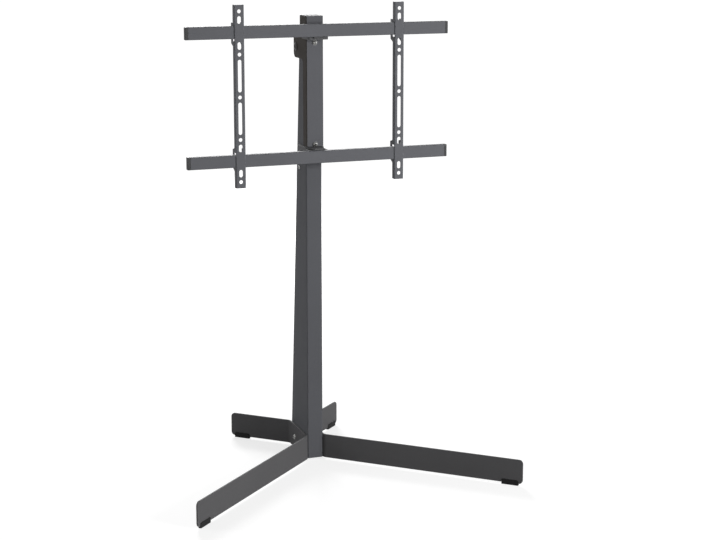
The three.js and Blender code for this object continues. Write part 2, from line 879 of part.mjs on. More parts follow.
// A hole with round ends, of the given length along the rail.
function railSlot(middle, length) {
  const radius = railHole / 2;
  const shape = new THREE.Shape();
  shape.absarc(0, middle + length / 2 - radius, radius, 0, Math.PI);
  shape.absarc(0, middle - length / 2 + radius, radius, Math.PI, 2 * Math.PI);
  return through(shape, railFront - cutOverrun, railFront + cutOverrun);
}

function railHoles() {
  const holes = [];
  for (let i = 0; i < railRoundHoles; i += 1) {
    const middle = (i - (railRoundHoles - 1) / 2) * railRoundHolePitch;
    holes.push(pinAlongY(railHole / 2, railFront - cutOverrun, railFront + cutOverrun, 0, middle));
  }
  for (const side of [-1, 1]) {
    holes.push(railSlot(side * railLongSlotAt, railLongSlot));
    holes.push(railSlot(side * railShortSlotNear, railShortSlot));
    holes.push(railSlot(side * railShortSlotFar, railShortSlot));
  }
  return holes;
}

const railGeometry = geometryFrom(railShell());
add(leftRail, 'rail_left', railGeometry, anthraciteBar);
add(rightRail, 'rail_right', railGeometry, anthraciteBar);
leftRail.position.set(-railFromMiddle, 0, mountHeight);
rightRail.position.set(railFromMiddle, 0, mountHeight);

// The finished part stands on the floor with the middle of its depth over the origin.
const part = new THREE.Group();
part.add(model);
const box = new THREE.Box3().setFromObject(model, true);
model.position.y = -(box.min.y + box.max.y) / 2;

export default part;
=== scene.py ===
import math

import bmesh
import bpy
from mathutils import Matrix, Vector
from mathutils.geometry import tessellate_polygon


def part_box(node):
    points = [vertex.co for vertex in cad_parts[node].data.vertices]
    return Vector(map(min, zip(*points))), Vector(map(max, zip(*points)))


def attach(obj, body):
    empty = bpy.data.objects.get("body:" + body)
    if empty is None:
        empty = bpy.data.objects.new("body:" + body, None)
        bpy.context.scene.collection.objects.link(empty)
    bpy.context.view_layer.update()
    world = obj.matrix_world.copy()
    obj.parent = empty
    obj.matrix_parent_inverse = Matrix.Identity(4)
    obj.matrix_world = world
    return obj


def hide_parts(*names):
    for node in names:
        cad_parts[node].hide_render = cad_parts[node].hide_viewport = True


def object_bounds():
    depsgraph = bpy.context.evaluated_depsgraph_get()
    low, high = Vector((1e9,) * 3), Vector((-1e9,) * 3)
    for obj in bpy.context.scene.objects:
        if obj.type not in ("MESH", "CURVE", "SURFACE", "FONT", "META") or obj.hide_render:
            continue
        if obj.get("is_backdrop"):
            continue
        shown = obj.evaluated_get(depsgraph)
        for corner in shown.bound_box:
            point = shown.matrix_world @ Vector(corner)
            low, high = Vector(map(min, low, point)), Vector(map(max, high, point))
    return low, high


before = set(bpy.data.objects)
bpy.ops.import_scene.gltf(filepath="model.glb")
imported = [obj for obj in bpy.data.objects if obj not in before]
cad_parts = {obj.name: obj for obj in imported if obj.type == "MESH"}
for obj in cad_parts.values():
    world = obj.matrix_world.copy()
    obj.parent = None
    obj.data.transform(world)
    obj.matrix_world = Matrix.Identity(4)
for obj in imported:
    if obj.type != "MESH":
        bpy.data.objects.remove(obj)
cad_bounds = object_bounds()

# Base strips
# Two flat steel bars set on edge. Each is cut to length with round ends, drilled for two bolts
# and bent twice, so that it lies along the column's side and spreads into a long front leg and a
# short rear leg. Matt powder coat.
column_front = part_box("column_shell")[0].y
column_side = 0.020
column_foot_depth = 0.1335
base_bottom = 0.0045
strip_height = 0.060
strip_sheet = 0.004
strip_corner_past = 0.002
strip_bend_radius = 0.014
strip_end_radius = 0.010
strip_rim = 0.0006
leg_angle = math.radians(43.2)
front_leg = 0.520
rear_leg = 0.169
base_bolt_depths = {"front": 0.040, "rear": 0.090}
base_bolt_height = base_bottom + strip_height / 2
large_bolt_hole = 0.0043
same_point = 1e-6
least_mitre = 0.3
thick_plate_rims = 5
hands = ((-1, "left"), (1, "right"))
worn_colour = (0.30, 0.30, 0.31)
coat_grain_per_metre = 1900.0
coat_peel_per_metre = 900.0
coat_clouds_per_metre = 7.0
coat_peel_share = 0.35
coat_cloud = 0.08
coat_base_tone = 0.96
coat_speck_tones = (0.93, 1.06)
coat_roughness = (0.64, 0.72)
coat_relief = (0.22, 0.0004)
wear_patches_per_metre = 45.0
wear_patch_shares = (0.15, 1.0)


def fill(tree, node, wires):
    """Links each socket given to the node's inputs, and sets each plain value on them."""
    for socket, value in dict(wires).items():
        if isinstance(value, bpy.types.NodeSocket):
            tree.links.new(value, node.inputs[socket])
        else:
            node.inputs[socket].default_value = value


def put(tree, kind, wires=(), **settings):
    """Adds a node, sets it, and wires or fills its inputs."""
    node = tree.nodes.new(kind)
    for name, value in settings.items():
        setattr(node, name, value)
    fill(tree, node, wires)
    return node


def figure(tree, operation, *values):
    """The outcome of one sum on sockets or numbers."""
    return put(tree, "ShaderNodeMath", dict(enumerate(values)), operation=operation).outputs[0]


def times(tree, first, second):
    return figure(tree, "MULTIPLY", first, second)


def noise(tree, place, per_metre, detail):
    wires = {"Vector": place, "Scale": per_metre, "Detail": detail}
    return put(tree, "ShaderNodeTexNoise", wires).outputs[0]


def spread(tree, value, low, high, start=0.3, end=0.7, **settings):
    """A noise's usual values, from start to end, spread out from low to high."""
    wires = {"Value": value, "From Min": start, "From Max": end, "To Min": low, "To Max": high}
    return put(tree, "ShaderNodeMapRange", wires, **settings).outputs[0]


def toned(tree, colour, tone):
    """The colour made darker or lighter by a tone."""
    wires = {0: colour, "Scale": tone}
    return put(tree, "ShaderNodeVectorMath", wires, operation="SCALE").outputs[0]


def blend(tree, share, first, second):
    """A share of the second colour over the first."""
    wires = {0: share, 6: first, 7: second}
    return put(tree, "ShaderNodeMix", wires, data_type="RGBA").outputs[2]


def attribute(tree, name):
    """A value that the piece's own mesh carries at each point."""
    node = put(tree, "ShaderNodeAttribute", attribute_name=name, attribute_type="GEOMETRY")
    return node.outputs["Fac"]


skin_outputs = {"Colour": "Color", "Roughness": "Float", "Height": "Float"}


def make_group(name, inputs, wiring, outputs=skin_outputs, kind="Shader"):
    """A node group with named sockets, wired by a function of its tree and what comes in."""
    tree = bpy.data.node_groups.new(name, f"{kind}NodeTree")
    for in_out, sockets in (("INPUT", inputs), ("OUTPUT", outputs)):
        for label, holds in sockets.items():
            tree.interface.new_socket(label, in_out=in_out, socket_type=f"NodeSocket{holds}")
    given = tree.nodes.new("NodeGroupInput").outputs
    result = tree.nodes.new("NodeGroupOutput")
    fill(tree, result, wiring(tree, *(given[label] for label in inputs)))
    return tree


def wire_powder_coat(tree, place, paint, grain_per_metre, cloud):
    """The fine pimpled skin of a baked powder coat, with faint clouds in its tone."""
    grain = noise(tree, place, grain_per_metre, 2.0)
    peel = noise(tree, place, coat_peel_per_metre, 1.0)
    clouds = spread(tree, noise(tree, place, coat_clouds_per_metre, 3.0), 0.0, 1.0)
    tone = figure(tree, "ADD", times(tree, clouds, cloud), coat_base_tone)
    tone = times(tree, tone, spread(tree, grain, *coat_speck_tones, start=0.35))
    height = put(tree, "ShaderNodeMix", {0: coat_peel_share, 2: grain, 3: peel})
    return {
        "Colour": toned(tree, paint, tone),
        "Roughness": spread(tree, peel, *coat_roughness),
        "Height": height.outputs[0],
    }


def wire_edge_wear(tree, place, edge, colour, bare, amount):
    """Thin, rubbed coating along a cut edge, broken up along its length."""
    patches = noise(tree, place, wear_patches_per_metre, 3.0)
    broken = spread(tree, patches, *wear_patch_shares, start=0.35, end=0.65)
    mask = times(tree, times(tree, broken, edge), amount)
    return {"Colour": blend(tree, mask, colour, bare)}


powder_coat = make_group(
    "powder_coat",
    {"Place": "Vector", "Paint": "Color", "Grain per metre": "Float", "Cloud": "Float"},
    wire_powder_coat,
)
edge_wear = make_group(
    "edge_wear",
    {"Place": "Vector", "Edge": "Float", "Colour": "Color", "Bare": "Color", "Amount": "Float"},
    wire_edge_wear,
    outputs={"Colour": "Color"},
)


def open_material(name):
    """A new material, its tree, its shader, and the place on the piece."""
    material = bpy.data.materials.new(name)
    material.use_nodes = True
    tree = material.node_tree
    place = put(tree, "ShaderNodeTexCoord").outputs["Object"]
    return material, tree, tree.nodes["Principled BSDF"], place


def add_group(tree, group, wires):
    """What a shared effect gives in this material, from its own values."""
    return put(tree, "ShaderNodeGroup", wires, node_tree=group).outputs


def dress(tree, shader, colour, skin, strength, depth):
    """Gives the shader a colour, and a skin's roughness and fine relief."""
    relief = {"Height": skin["Height"], "Strength": strength, "Distance": depth}
    normal = put(tree, "ShaderNodeBump", relief).outputs["Normal"]
    fill(tree, shader, {"Base Color": colour, "Roughness": skin["Roughness"], "Normal": normal})


def coated_steel(name, colour, gloss=0.2, wear=0.35, painted_shade_colour=None):
    """Powder-coated steel in one colour, or with a darker colour painted as shade where the flange
    attribute is 1.
    """
    material, tree, shader, place = open_material(name)
    paint = (*colour, 1.0)
    # A second, darker colour here is painted shade on the faces that the flange attribute marks.
    if painted_shade_colour:
        paint = blend(tree, attribute(tree, "flange"), paint, (*painted_shade_colour, 1.0))
    look = {"Paint": paint, "Grain per metre": coat_grain_per_metre, "Cloud": coat_cloud}
    coat = add_group(tree, powder_coat, {"Place": place, **look})
    edges = {
        "Place": place,
        "Edge": attribute(tree, "rim"),
        "Colour": coat["Colour"],
        "Bare": (*worn_colour, 1.0),
        "Amount": wear,
    }
    dress(tree, shader, add_group(tree, edge_wear, edges)["Colour"], coat, *coat_relief)
    shader.inputs["Specular IOR Level"].default_value = gloss
    return material


def rounded(corners, steps=6):
    """The points of an outline through corners (x, y, radius); with no radius a corner is sharp."""
    points = []
    for i, corner in enumerate(corners):
        here = Vector(corner[:2])
        radius = corner[2] if len(corner) > 2 else 0.0
        if not radius:
            points.append(here)
            continue
        back = Vector(corners[i - 1][:2]) - here
        ahead = Vector(corners[(i + 1) % len(corners)][:2]) - here
        room = min(back.length, ahead.length)
        back.normalize()
        ahead.normalize()
        half = back.angle(ahead) / 2
        reach = min(radius / math.tan(half), room)
        radius = reach * math.tan(half)
        centre = here + (back + ahead).normalized() * (radius / math.sin(half))
        start = here + back * reach - centre
        sweep = -start.angle_signed(here + ahead * reach - centre)
        for step in range(steps + 1):
            points.append(centre + Matrix.Rotation(sweep * step / steps, 2) @ start)
    return points


def rectangle(low, high, low_radius=0.0, high_radius=0.0):
    """A rectangle between two corners, its lower and its upper corners rounded."""
    (left, bottom), (right, top) = low, high
    return rounded(
        [
            (left, bottom, low_radius),
            (right, bottom, low_radius),
            (right, top, high_radius),
            (left, top, high_radius),
        ]
    )


def circle(x, y, radius, steps=24):
    turns = [2 * math.pi * step / steps for step in range(steps)]
    return [Vector((x + radius * math.cos(t), y + radius * math.sin(t))) for t in turns]


def ring_of(loop, inset):
    """The loop moved by inset into the plate, which lies on the left of its direction."""
    moved = []
    for i, here in enumerate(loop):
        arriving = (here - loop[i - 1]).normalized()
        leaving = (loop[(i + 1) % len(loop)] - here).normalized()
        normal = Vector((-arriving.y, arriving.x))
        mitre = (normal + Vector((-leaving.y, leaving.x))).normalized()
        moved.append(here + mitre * inset / max(mitre.dot(normal), least_mitre))
    return moved


def cut_plate(outline, sheet, rim, holes=(), rim_steps=2):
    """A plate cut from sheet: outline and holes in X and Z, thickness in Y, every edge rounded."""
    mesh = bmesh.new()
    rim_layer = mesh.verts.layers.float.new("rim")
    turns = [math.pi / 2 * step / rim_steps for step in range(rim_steps + 1)]
    rings = [(rim * (1 - math.sin(t)), rim * (1 - math.cos(t)), 1.0) for t in turns]
    rings[0] = (*rings[0][:2], 0.0)
    if sheet > thick_plate_rims * rim:
        rings.append((0.0, 2 * rim, 0.0))
    rings += [(inset, sheet - depth, rubbed) for inset, depth, rubbed in reversed(rings)]
    faces_of = ([], [])
    for number, loop in enumerate([outline, *holes]):
        loop = [Vector(point) for point in loop]
        area = sum(a.x * b.y - b.x * a.y for a, b in zip(loop, loop[1:] + loop[:1]))
        if (area > 0) != (number == 0):
            loop.reverse()
        rows = []
        for inset, depth, rubbed in rings:
            row = [mesh.verts.new((p.x, depth, p.y)) for p in ring_of(loop, inset)]
            rows.append(row)
            for vert in row:
                vert[rim_layer] = rubbed
        for lower, upper in zip(rows, rows[1:]):
            for i in range(len(loop)):
                mesh.faces.new((lower[i - 1], lower[i], upper[i], upper[i - 1]))
        faces_of[0].append(rows[0])
        faces_of[1].append(rows[-1])
    for loops in faces_of:
        flat = [vert for loop in loops for vert in loop]
        shape = [[Vector((v.co.x, v.co.z, 0.0)) for v in loop] for loop in loops]
        for triangle in tessellate_polygon(shape):
            mesh.faces.new([flat[i] for i in triangle])
    return mesh


class BentLine:
    """A line in plan with round bends, along which a flat plate is folded."""

    def __init__(self, corners):
        self.points = rounded(corners)
        pairs = list(zip(self.points, self.points[1:]))
        self.stations = [0.0]
        for a, b in pairs:
            self.stations.append(self.stations[-1] + (b - a).length)
        runs = [(b - a).normalized() for a, b in pairs]
        normals = [Vector((-run.y, run.x)) for run in runs]
        self.offsets = []
        for before, after in zip([normals[0], *normals], [*normals, normals[-1]]):
            mitre = (before + after).normalized()
            self.offsets.append(mitre / mitre.dot(before))

    def centred(self):
        shift = (self.stations[0] + self.stations[-1]) / 2
        self.stations = [station - shift for station in self.stations]
        return self

    def at(self, station, depth):
        i = 0
        while i < len(self.stations) - 2 and station > self.stations[i + 1]:
            i += 1
        span = self.stations[i + 1] - self.stations[i]
        share = (station - self.stations[i]) / span
        point = self.points[i].lerp(self.points[i + 1], share)
        return point + self.offsets[i].lerp(self.offsets[i + 1], share) * depth


def crease(plate, place, direction):
    """Cuts the plate's faces along a plane, so that they can bend there."""
    geometry = plate.verts[:] + plate.edges[:] + plate.faces[:]
    bmesh.ops.bisect_plane(plate, geom=geometry, plane_co=place, plane_no=direction)


def fold(plate, line, depth_shift=0.0):
    """Bends a flat plate along the line, after a crease at each station of a bend."""
    for station in line.stations[1:-1]:
        crease(plate, (station, 0, 0), (1, 0, 0))
    for vert in plate.verts:
        spot = line.at(vert.co.x, vert.co.y + depth_shift)
        vert.co = (spot.x, spot.y, vert.co.z)


def face_outward(mesh):
    """Turns each closed shell of the mesh the right way out."""
    bmesh.ops.remove_doubles(mesh, verts=mesh.verts[:], dist=same_point)
    bmesh.ops.recalc_face_normals(mesh, faces=mesh.faces[:])
    waiting = set(mesh.faces)
    while waiting:
        shell = [waiting.pop()]
        volume = 0.0
        for face in shell:
            corners = [vert.co for vert in face.verts]
            for second, third in zip(corners[1:], corners[2:]):
                volume += corners[0].dot(second.cross(third))
            for edge in face.edges:
                for other in edge.link_faces:
                    if other in waiting:
                        waiting.remove(other)
                        shell.append(other)
        if volume < 0:
            bmesh.ops.reverse_faces(mesh, faces=shell)


def kept(name, mesh):
    """The mesh as data that an object can hold."""
    data = bpy.data.meshes.new(name)
    mesh.to_mesh(data)
    mesh.free()
    return data


def set_out(name, data):
    """A new object in the scene."""
    thing = bpy.data.objects.new(name, data)
    bpy.context.scene.collection.objects.link(thing)
    return thing


def as_made(thing):
    """The plain mesh that an object's modifiers make."""
    evaluated = thing.evaluated_get(bpy.context.evaluated_depsgraph_get())
    return bpy.data.meshes.new_from_object(evaluated)


def finished(name, shape, material, nodes, smooth_under=50.0, body="stand"):
    """Turns a worked mesh, or a plain mesh that faces outwards, into a piece with clean normals."""
    if isinstance(shape, bmesh.types.BMesh):
        face_outward(shape)
        shape = kept(name, shape)
    shape.materials.clear()
    shape.materials.append(material)
    shape.shade_smooth()
    shape.set_sharp_from_angle(angle=math.radians(smooth_under))
    piece = set_out(name, shape)
    weigh = piece.modifiers.new("even_shading", "WEIGHTED_NORMAL")
    weigh.keep_sharp = True
    weigh.weight = 100
    plain = as_made(piece)
    piece.modifiers.clear()
    piece.data = plain
    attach(piece, body)
    if nodes:
        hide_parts(*nodes)


strip_paint = coated_steel("strip_coat", (0.099, 0.098, 0.101), gloss=0.06, wear=0.2)
leg_ends = {}
for side, hand in hands:
    middle = side * (column_side + strip_sheet / 2)
    rear_corner = Vector((middle, column_front + column_foot_depth + strip_corner_past))
    front_corner = Vector((middle, column_front - strip_corner_past))
    rear_run = Vector((side * math.cos(leg_angle), math.sin(leg_angle)))
    front_run = Vector((side * math.cos(leg_angle), -math.sin(leg_angle)))
    rear_end = rear_corner + rear_run * rear_leg
    front_end = front_corner + front_run * front_leg
    leg_ends[hand] = {"front": (front_end, front_run), "rear": (rear_end, rear_run)}
    rear_bend, front_bend = (
        (*corner, strip_bend_radius) for corner in (rear_corner, front_corner)
    )
    line = BentLine([rear_end[:], rear_bend, front_bend, front_end[:]])
    outline = rectangle(
        (0.0, base_bottom),
        (line.stations[-1], base_bottom + strip_height),
        strip_end_radius,
        strip_end_radius,
    )
    straight = next(i for i, p in enumerate(line.points) if abs(p.x - middle) < same_point)
    holes = []
    for depth in base_bolt_depths.values():
        along = line.stations[straight] + line.points[straight].y - column_front - depth
        holes.append(circle(along, base_bolt_height, large_bolt_hole))
    plate = cut_plate(outline, strip_sheet, strip_rim, holes)
    fold(plate, line, -strip_sheet / 2)
    finished(f"strip_{hand}", plate, strip_paint, [f"base_strip_{hand}"])

# Foot pads
# Black rubbery plastic pads, moulded as a channel that is pushed up over the lower edge of each
# leg a little way in from its end. Their sole is what the stand rests on.
foot_sole = 0.0045
foot_cheek = 0.009
foot_cheek_sheet = 0.0012
foot_gap = 0.0003
foot_length = 0.042
foot_from_end = 0.0106
foot_top_radius = 0.004
foot_sole_radius = 0.0012
foot_rim = 0.0005
foot_overrun = 0.005
smears_per_metre = 60.0
smear_tones = (0.85, 1.25)
moulded_roughness = (0.5, 0.68)
moulded_relief = (0.25, 0.0003)


def wire_moulded_grain(tree, place, plastic, grain_per_metre):
    """The fine spark-eroded grain that a mould leaves on plastic."""
    cells = put(tree, "ShaderNodeTexVoronoi", {"Vector": place, "Scale": grain_per_metre})
    smear = noise(tree, place, smears_per_metre, 4.0)
    return {
        "Colour": toned(tree, plastic, spread(tree, smear, *smear_tones)),
        "Roughness": spread(tree, smear, *moulded_roughness),
        "Height": cells.outputs["Distance"],
    }


moulded_grain = make_group(
    "moulded_grain",
    {"Place": "Vector", "Plastic": "Color", "Grain per metre": "Float"},
    wire_moulded_grain,
)


def moulded_plastic(name, colour, grain_per_metre=1500.0, gloss=0.25):
    """Plastic in one colour, as it comes out of the mould."""
    material, tree, shader, place = open_material(name)
    look = {"Plastic": (*colour, 1.0), "Grain per metre": grain_per_metre}
    grain = add_group(tree, moulded_grain, {"Place": place, **look})
    dress(tree, shader, grain["Colour"], grain, *moulded_relief)
    shader.inputs["Specular IOR Level"].default_value = gloss
    return material


def box_mesh(low, high):
    mesh = bmesh.new()
    middle = (Vector(low) + Vector(high)) / 2
    size = Vector(high) - Vector(low)
    place = Matrix.Translation(middle) @ Matrix.Diagonal((*size, 1))
    bmesh.ops.create_cube(mesh, size=1, matrix=place)
    return mesh


def cut_away(body, tool):
    """The body with the tool's shape cut out of it, as mesh data."""
    for mesh in (body, tool):
        bmesh.ops.recalc_face_normals(mesh, faces=mesh.faces[:])
    blank = set_out("cut_body", kept("cut_body", body))
    cutter = set_out("cut_tool", kept("cut_tool", tool))
    cut = blank.modifiers.new("cut", "BOOLEAN")
    cut.object = cutter
    cut.operation = "DIFFERENCE"
    cut.solver = "EXACT"
    data = as_made(blank)
    for thing in (blank, cutter):
        bpy.data.objects.remove(thing)
    return data


pad_plastic = moulded_plastic("pad_plastic", (0.010, 0.010, 0.010), gloss=0.12)
slot_side = strip_sheet / 2 + foot_gap
pad_side = slot_side + foot_cheek_sheet
pad_start = -foot_from_end - foot_length
pad_top = foot_sole + foot_cheek
pad_outline = rectangle(
    (pad_start, 0.0), (-foot_from_end, pad_top), foot_sole_radius, foot_top_radius
)
for hand, ends in leg_ends.items():
    for which, (end, run) in ends.items():
        pad = cut_plate(pad_outline, 2 * pad_side, foot_rim)
        for vert in pad.verts:
            vert.co.y -= pad_side
        slot = box_mesh(
            (pad_start - foot_overrun, -slot_side, foot_sole),
            (-foot_from_end + foot_overrun, slot_side, pad_top + foot_overrun),
        )
        data = cut_away(pad, slot)
        turn = Matrix.Rotation(math.atan2(run.y, run.x), 4, "Z")
        data.transform(Matrix.Translation((*end, 0.0)) @ turn)
        node = f"foot_{which}_{hand}"
        finished(f"pad_{which}_{hand}", data, pad_plastic, [node])

# Column shell
# A tall channel folded from one steel sheet: a narrow front with round corners, two sides that
# get shallower towards the top, and a lip turned in along each rear edge, with the cable duct
# open between the lips. Drilled for the base, bracket and spine bolts.
column_sheet = 0.0025
column_corner_radius = 0.003
column_rear_radius = 0.003
column_top_depth = 0.0432
column_height = 1.1017
column_lip = 0.008
column_rim = 0.0003
side_screw_depth = 0.050
side_screw_height = 0.7355
side_screw_hole = 0.0028
bracket_bolt_depth = 0.030
bracket_bolt_height = 0.7725
spine_bolt_heights = {"upper": 1.0445, "lower": 0.7992}
small_bolt_hole = 0.0033
column_top = base_bottom + column_height


def column_rear(height):
    share = (height - base_bottom) / column_height
    return column_foot_depth + (column_top_depth - column_foot_depth) * share


def column_section(height):
    """The column's outside in plan at a height, its stations counted from the front's middle."""
    rear = column_front + column_rear(height)
    lip = column_side - column_lip
    return BentLine(
        [
            (-lip, rear),
            (-column_side, rear, column_rear_radius),
            (-column_side, column_front, column_corner_radius),
            (column_side, column_front, column_corner_radius),
            (column_side, rear, column_rear_radius),
            (lip, rear),
        ]
    ).centred()


foot_line = column_section(base_bottom)
top_line = column_section(column_top)
outline = [
    (foot_line.stations[0], base_bottom),
    (foot_line.stations[-1], base_bottom),
    (top_line.stations[-1], column_top),
    (top_line.stations[0], column_top),
]
front_arc_end = next(
    station
    for station, point in zip(foot_line.stations, foot_line.points)
    if station > 0 and abs(point.x - column_side) < same_point
)
side_holes = [
    *((depth, base_bolt_height, large_bolt_hole) for depth in base_bolt_depths.values()),
    (bracket_bolt_depth, bracket_bolt_height, large_bolt_hole),
    (side_screw_depth, side_screw_height, side_screw_hole),
]
holes = []
for side in (-1, 1):
    for depth, height, radius in side_holes:
        along = side * (front_arc_end + depth - column_corner_radius)
        holes.append(circle(along, height, radius))
for height in spine_bolt_heights.values():
    holes.append(circle(0.0, height, small_bolt_hole))
plate = cut_plate(outline, column_sheet, column_rim, holes)
for low, high in zip(foot_line.stations[1:-1], top_line.stations[1:-1]):
    lean = (high - low) / column_height
    crease(plate, (low, 0, base_bottom), Vector((1, 0, -lean)).normalized())
for vert in plate.verts:
    spot = column_section(vert.co.z).at(vert.co.x, vert.co.y)
    vert.co = (spot.x, spot.y, vert.co.z)
column_paint = coated_steel("column_coat", (0.095, 0.097, 0.106), gloss=0.08)
finished("column", plate, column_paint, ["column_shell"])

# Cable cover
# A long strip of extruded plastic that closes the duct at the column's rear. Two ribs with barbs
# on its inner side snap behind the column's lips.
cover_sheet = 0.0018
cover_width = 0.034
cover_rib_sheet = 0.0015
cover_barb = 0.0011
cover_barb_length = 0.0024
cover_gap = 0.0003
cover_from_floor = 0.080
cover_height = 0.920
cover_rim = 0.0002
rib_outside = column_side - column_lip - cover_gap
rib_inside = rib_outside - cover_rib_sheet
barb_top = -column_sheet - cover_gap
barb_end = barb_top - cover_barb_length
half_section = [
    (cover_width / 2, cover_gap + cover_sheet),
    (cover_width / 2, cover_gap),
    (rib_outside, cover_gap),
    (rib_outside, barb_top),
    (rib_outside + cover_barb, barb_top),
    (rib_outside, barb_end),
    (rib_inside, barb_end),
    (rib_inside, cover_gap),
]
cover_section = half_section + [(-x, y) for x, y in reversed(half_section)]
lean = math.atan((column_foot_depth - column_top_depth) / column_height)
cover = cut_plate(cover_section, cover_height / math.cos(lean), cover_rim)
place = Matrix.Translation((0, column_front + column_rear(cover_from_floor), cover_from_floor))
place = place @ Matrix.Rotation(lean, 4, "X")
for vert in cover.verts:
    vert.co = place @ Vector((vert.co.x, vert.co.z, vert.co.y))
cover_plastic = moulded_plastic("cover_plastic", (0.020, 0.020, 0.021))
finished(
    "cable_cover",
    cover,
    cover_plastic,
    ["column_cable_cover"],
    smooth_under=30.0,
)

# Base bolts and cross bars
# Button-head bolts with a hexagon socket hold the strips against the column's foot. They screw
# into two round steel bars that span the column's inside. All zinc plated.
large_bolt = {
    "Shank diameter": 0.008,
    "Head diameter": 0.0136,
    "Head height": 0.0044,
    "Socket across": 0.005,
}
base_bolt_length = 0.020
crossbar_diameter = 0.016
mottle_per_metre = 420.0
scratches_per_metre = 2600.0
mottle_tones = (0.82, 1.08)
mottle_roughness = (-0.09, 0.09)
plated_relief = (0.1, 0.0002)
hexagon_sides = 6
round_sides = 32
rod_sides = 24
chamfer_sides = 48
corner_share = 1 / math.sqrt(3)
head_steps = (
    (0.485, 0.5, 0.06),
    (0.5, 0.5, 0.24),
    (0.5, 0.455, 0.28),
    (0.455, 0.36, 0.26),
    (0.36, 0.27, 0.16),
)
key_share = 1.2
mouth_shares = {"low": 0.45, "high": 0.95, "rise": 0.35, "sunk": 0.12}
nut_face_share = 0.48
nut_chamfer_slope = 1.73


def wire_plated_metal(tree, place, metal, dullness):
    """The faint grey mottle of zinc plate."""
    mottle = noise(tree, place, mottle_per_metre, 4.0)
    uneven = spread(tree, mottle, *mottle_roughness)
    return {
        "Colour": toned(tree, metal, spread(tree, mottle, *mottle_tones)),
        "Roughness": figure(tree, "ADD", uneven, dullness),
        "Height": noise(tree, place, scratches_per_metre, 2.0),
    }


plated_metal = make_group(
    "plated_metal",
    {"Place": "Vector", "Metal": "Color", "Dullness": "Float"},
    wire_plated_metal,
)


def plated_steel(name, colour, metallic, dullness):
    """Zinc plate, bright or passivated black."""
    material, tree, shader, place = open_material(name)
    look = {"Metal": (*colour, 1.0), "Dullness": dullness}
    plating = add_group(tree, plated_metal, {"Place": place, **look})
    dress(tree, shader, plating["Colour"], plating, *plated_relief)
    shader.inputs["Metallic"].default_value = metallic
    return material


def made_real(tree, geometry, material):
    """A tree's end: its copies made real, with the material on them."""
    real = put(tree, "GeometryNodeRealizeInstances", {"Geometry": geometry}).outputs[0]
    wires = {"Geometry": real, "Material": material}
    return {"Geometry": put(tree, "GeometryNodeSetMaterial", wires).outputs[0]}


shape_outputs = {"Geometry": "Geometry"}


def make_on_points(name, labels, shape):
    """A tree that sets a shape of the labelled sizes on each point, facing as the point says."""

    def wiring(tree, points, *sizes_and_material):
        *sizes, material = sizes_and_material
        facing = put(
            tree, "GeometryNodeInputNamedAttribute", {"Name": "facing"}, data_type="FLOAT_VECTOR"
        )
        turned = put(
            tree, "FunctionNodeAlignRotationToVector", {"Vector": facing.outputs[0]}, axis="Z"
        )
        wires = {"Points": points, "Instance": shape(tree, *sizes), "Rotation": turned.outputs[0]}
        placed = put(tree, "GeometryNodeInstanceOnPoints", wires)
        return made_real(tree, placed.outputs[0], material)

    inputs = {"Points": "Geometry", **dict.fromkeys(labels, "Float"), "Material": "Material"}
    return make_group(name, inputs, wiring, shape_outputs, "Geometry")


def upward(tree, geometry, height):
    """The geometry moved up by a height."""
    lift = put(tree, "ShaderNodeCombineXYZ", {"Z": height})
    wires = {"Geometry": geometry, "Translation": lift.outputs[0]}
    return put(tree, "GeometryNodeTransform", wires).outputs[0]


def rod(tree, sides, radius, length):
    """A straight bar with its middle on the ground."""
    wires = {"Vertices": sides, "Radius": radius, "Depth": length}
    return put(tree, "GeometryNodeMeshCylinder", wires).outputs["Mesh"]


def cone(tree, sides, low_radius, high_radius, height):
    """A turned step that stands on the ground."""
    wires = {
        "Vertices": sides,
        "Radius Bottom": low_radius,
        "Radius Top": high_radius,
        "Depth": height,
    }
    return put(tree, "GeometryNodeMeshCone", wires).outputs["Mesh"]


def combined(tree, operation, solids, body=None):
    """The solids made one, or what they share, or the body with the solids cut out of it."""
    wires = {} if body is None else {"Mesh 1": body}
    node = put(tree, "GeometryNodeMeshBoolean", wires, operation=operation, solver="EXACT")
    for solid in solids:
        tree.links.new(solid, node.inputs["Mesh 2"])
    return node.outputs["Mesh"]


def button_bolt(tree, diameter, height, shank, length, across):
    """A button head on a shank, with a hexagon socket in its face.

    Each step of the head has its low and high radius as shares of the head's diameter, and
    its rise as a share of the head's height. The socket's mouth goes by the socket's width.
    """
    solids = []
    foot = 0.0
    for low, high, rise in head_steps:
        radii = (times(tree, diameter, share) for share in (low, high))
        step = cone(tree, round_sides, *radii, times(tree, height, rise))
        solids.append(upward(tree, step, times(tree, height, foot)))
        foot += rise
    stem = rod(tree, rod_sides, times(tree, shank, 0.5), length)
    solids.append(upward(tree, stem, times(tree, length, -0.5)))
    whole = combined(tree, "UNION", solids)
    key_length = times(tree, height, key_share)
    key = rod(tree, hexagon_sides, times(tree, across, corner_share), key_length)
    low, high, rise, sunk = (times(tree, across, share) for share in mouth_shares.values())
    mouth = cone(tree, round_sides, low, high, rise)
    mouth_foot = figure(tree, "SUBTRACT", height, sunk)
    tools = [upward(tree, key, height), upward(tree, mouth, mouth_foot)]
    return combined(tree, "DIFFERENCE", tools, whole)


def bored_ring(tree, diameter, bore, height):
    """A ring turned from bar or punched from sheet: washer, spacer, sleeve or threaded bar."""
    outside = rod(tree, round_sides, times(tree, diameter, 0.5), height)
    inside = rod(tree, round_sides, times(tree, bore, 0.5), times(tree, height, 2.0))
    ring = combined(tree, "DIFFERENCE", [inside], outside)
    return upward(tree, ring, times(tree, height, 0.5))


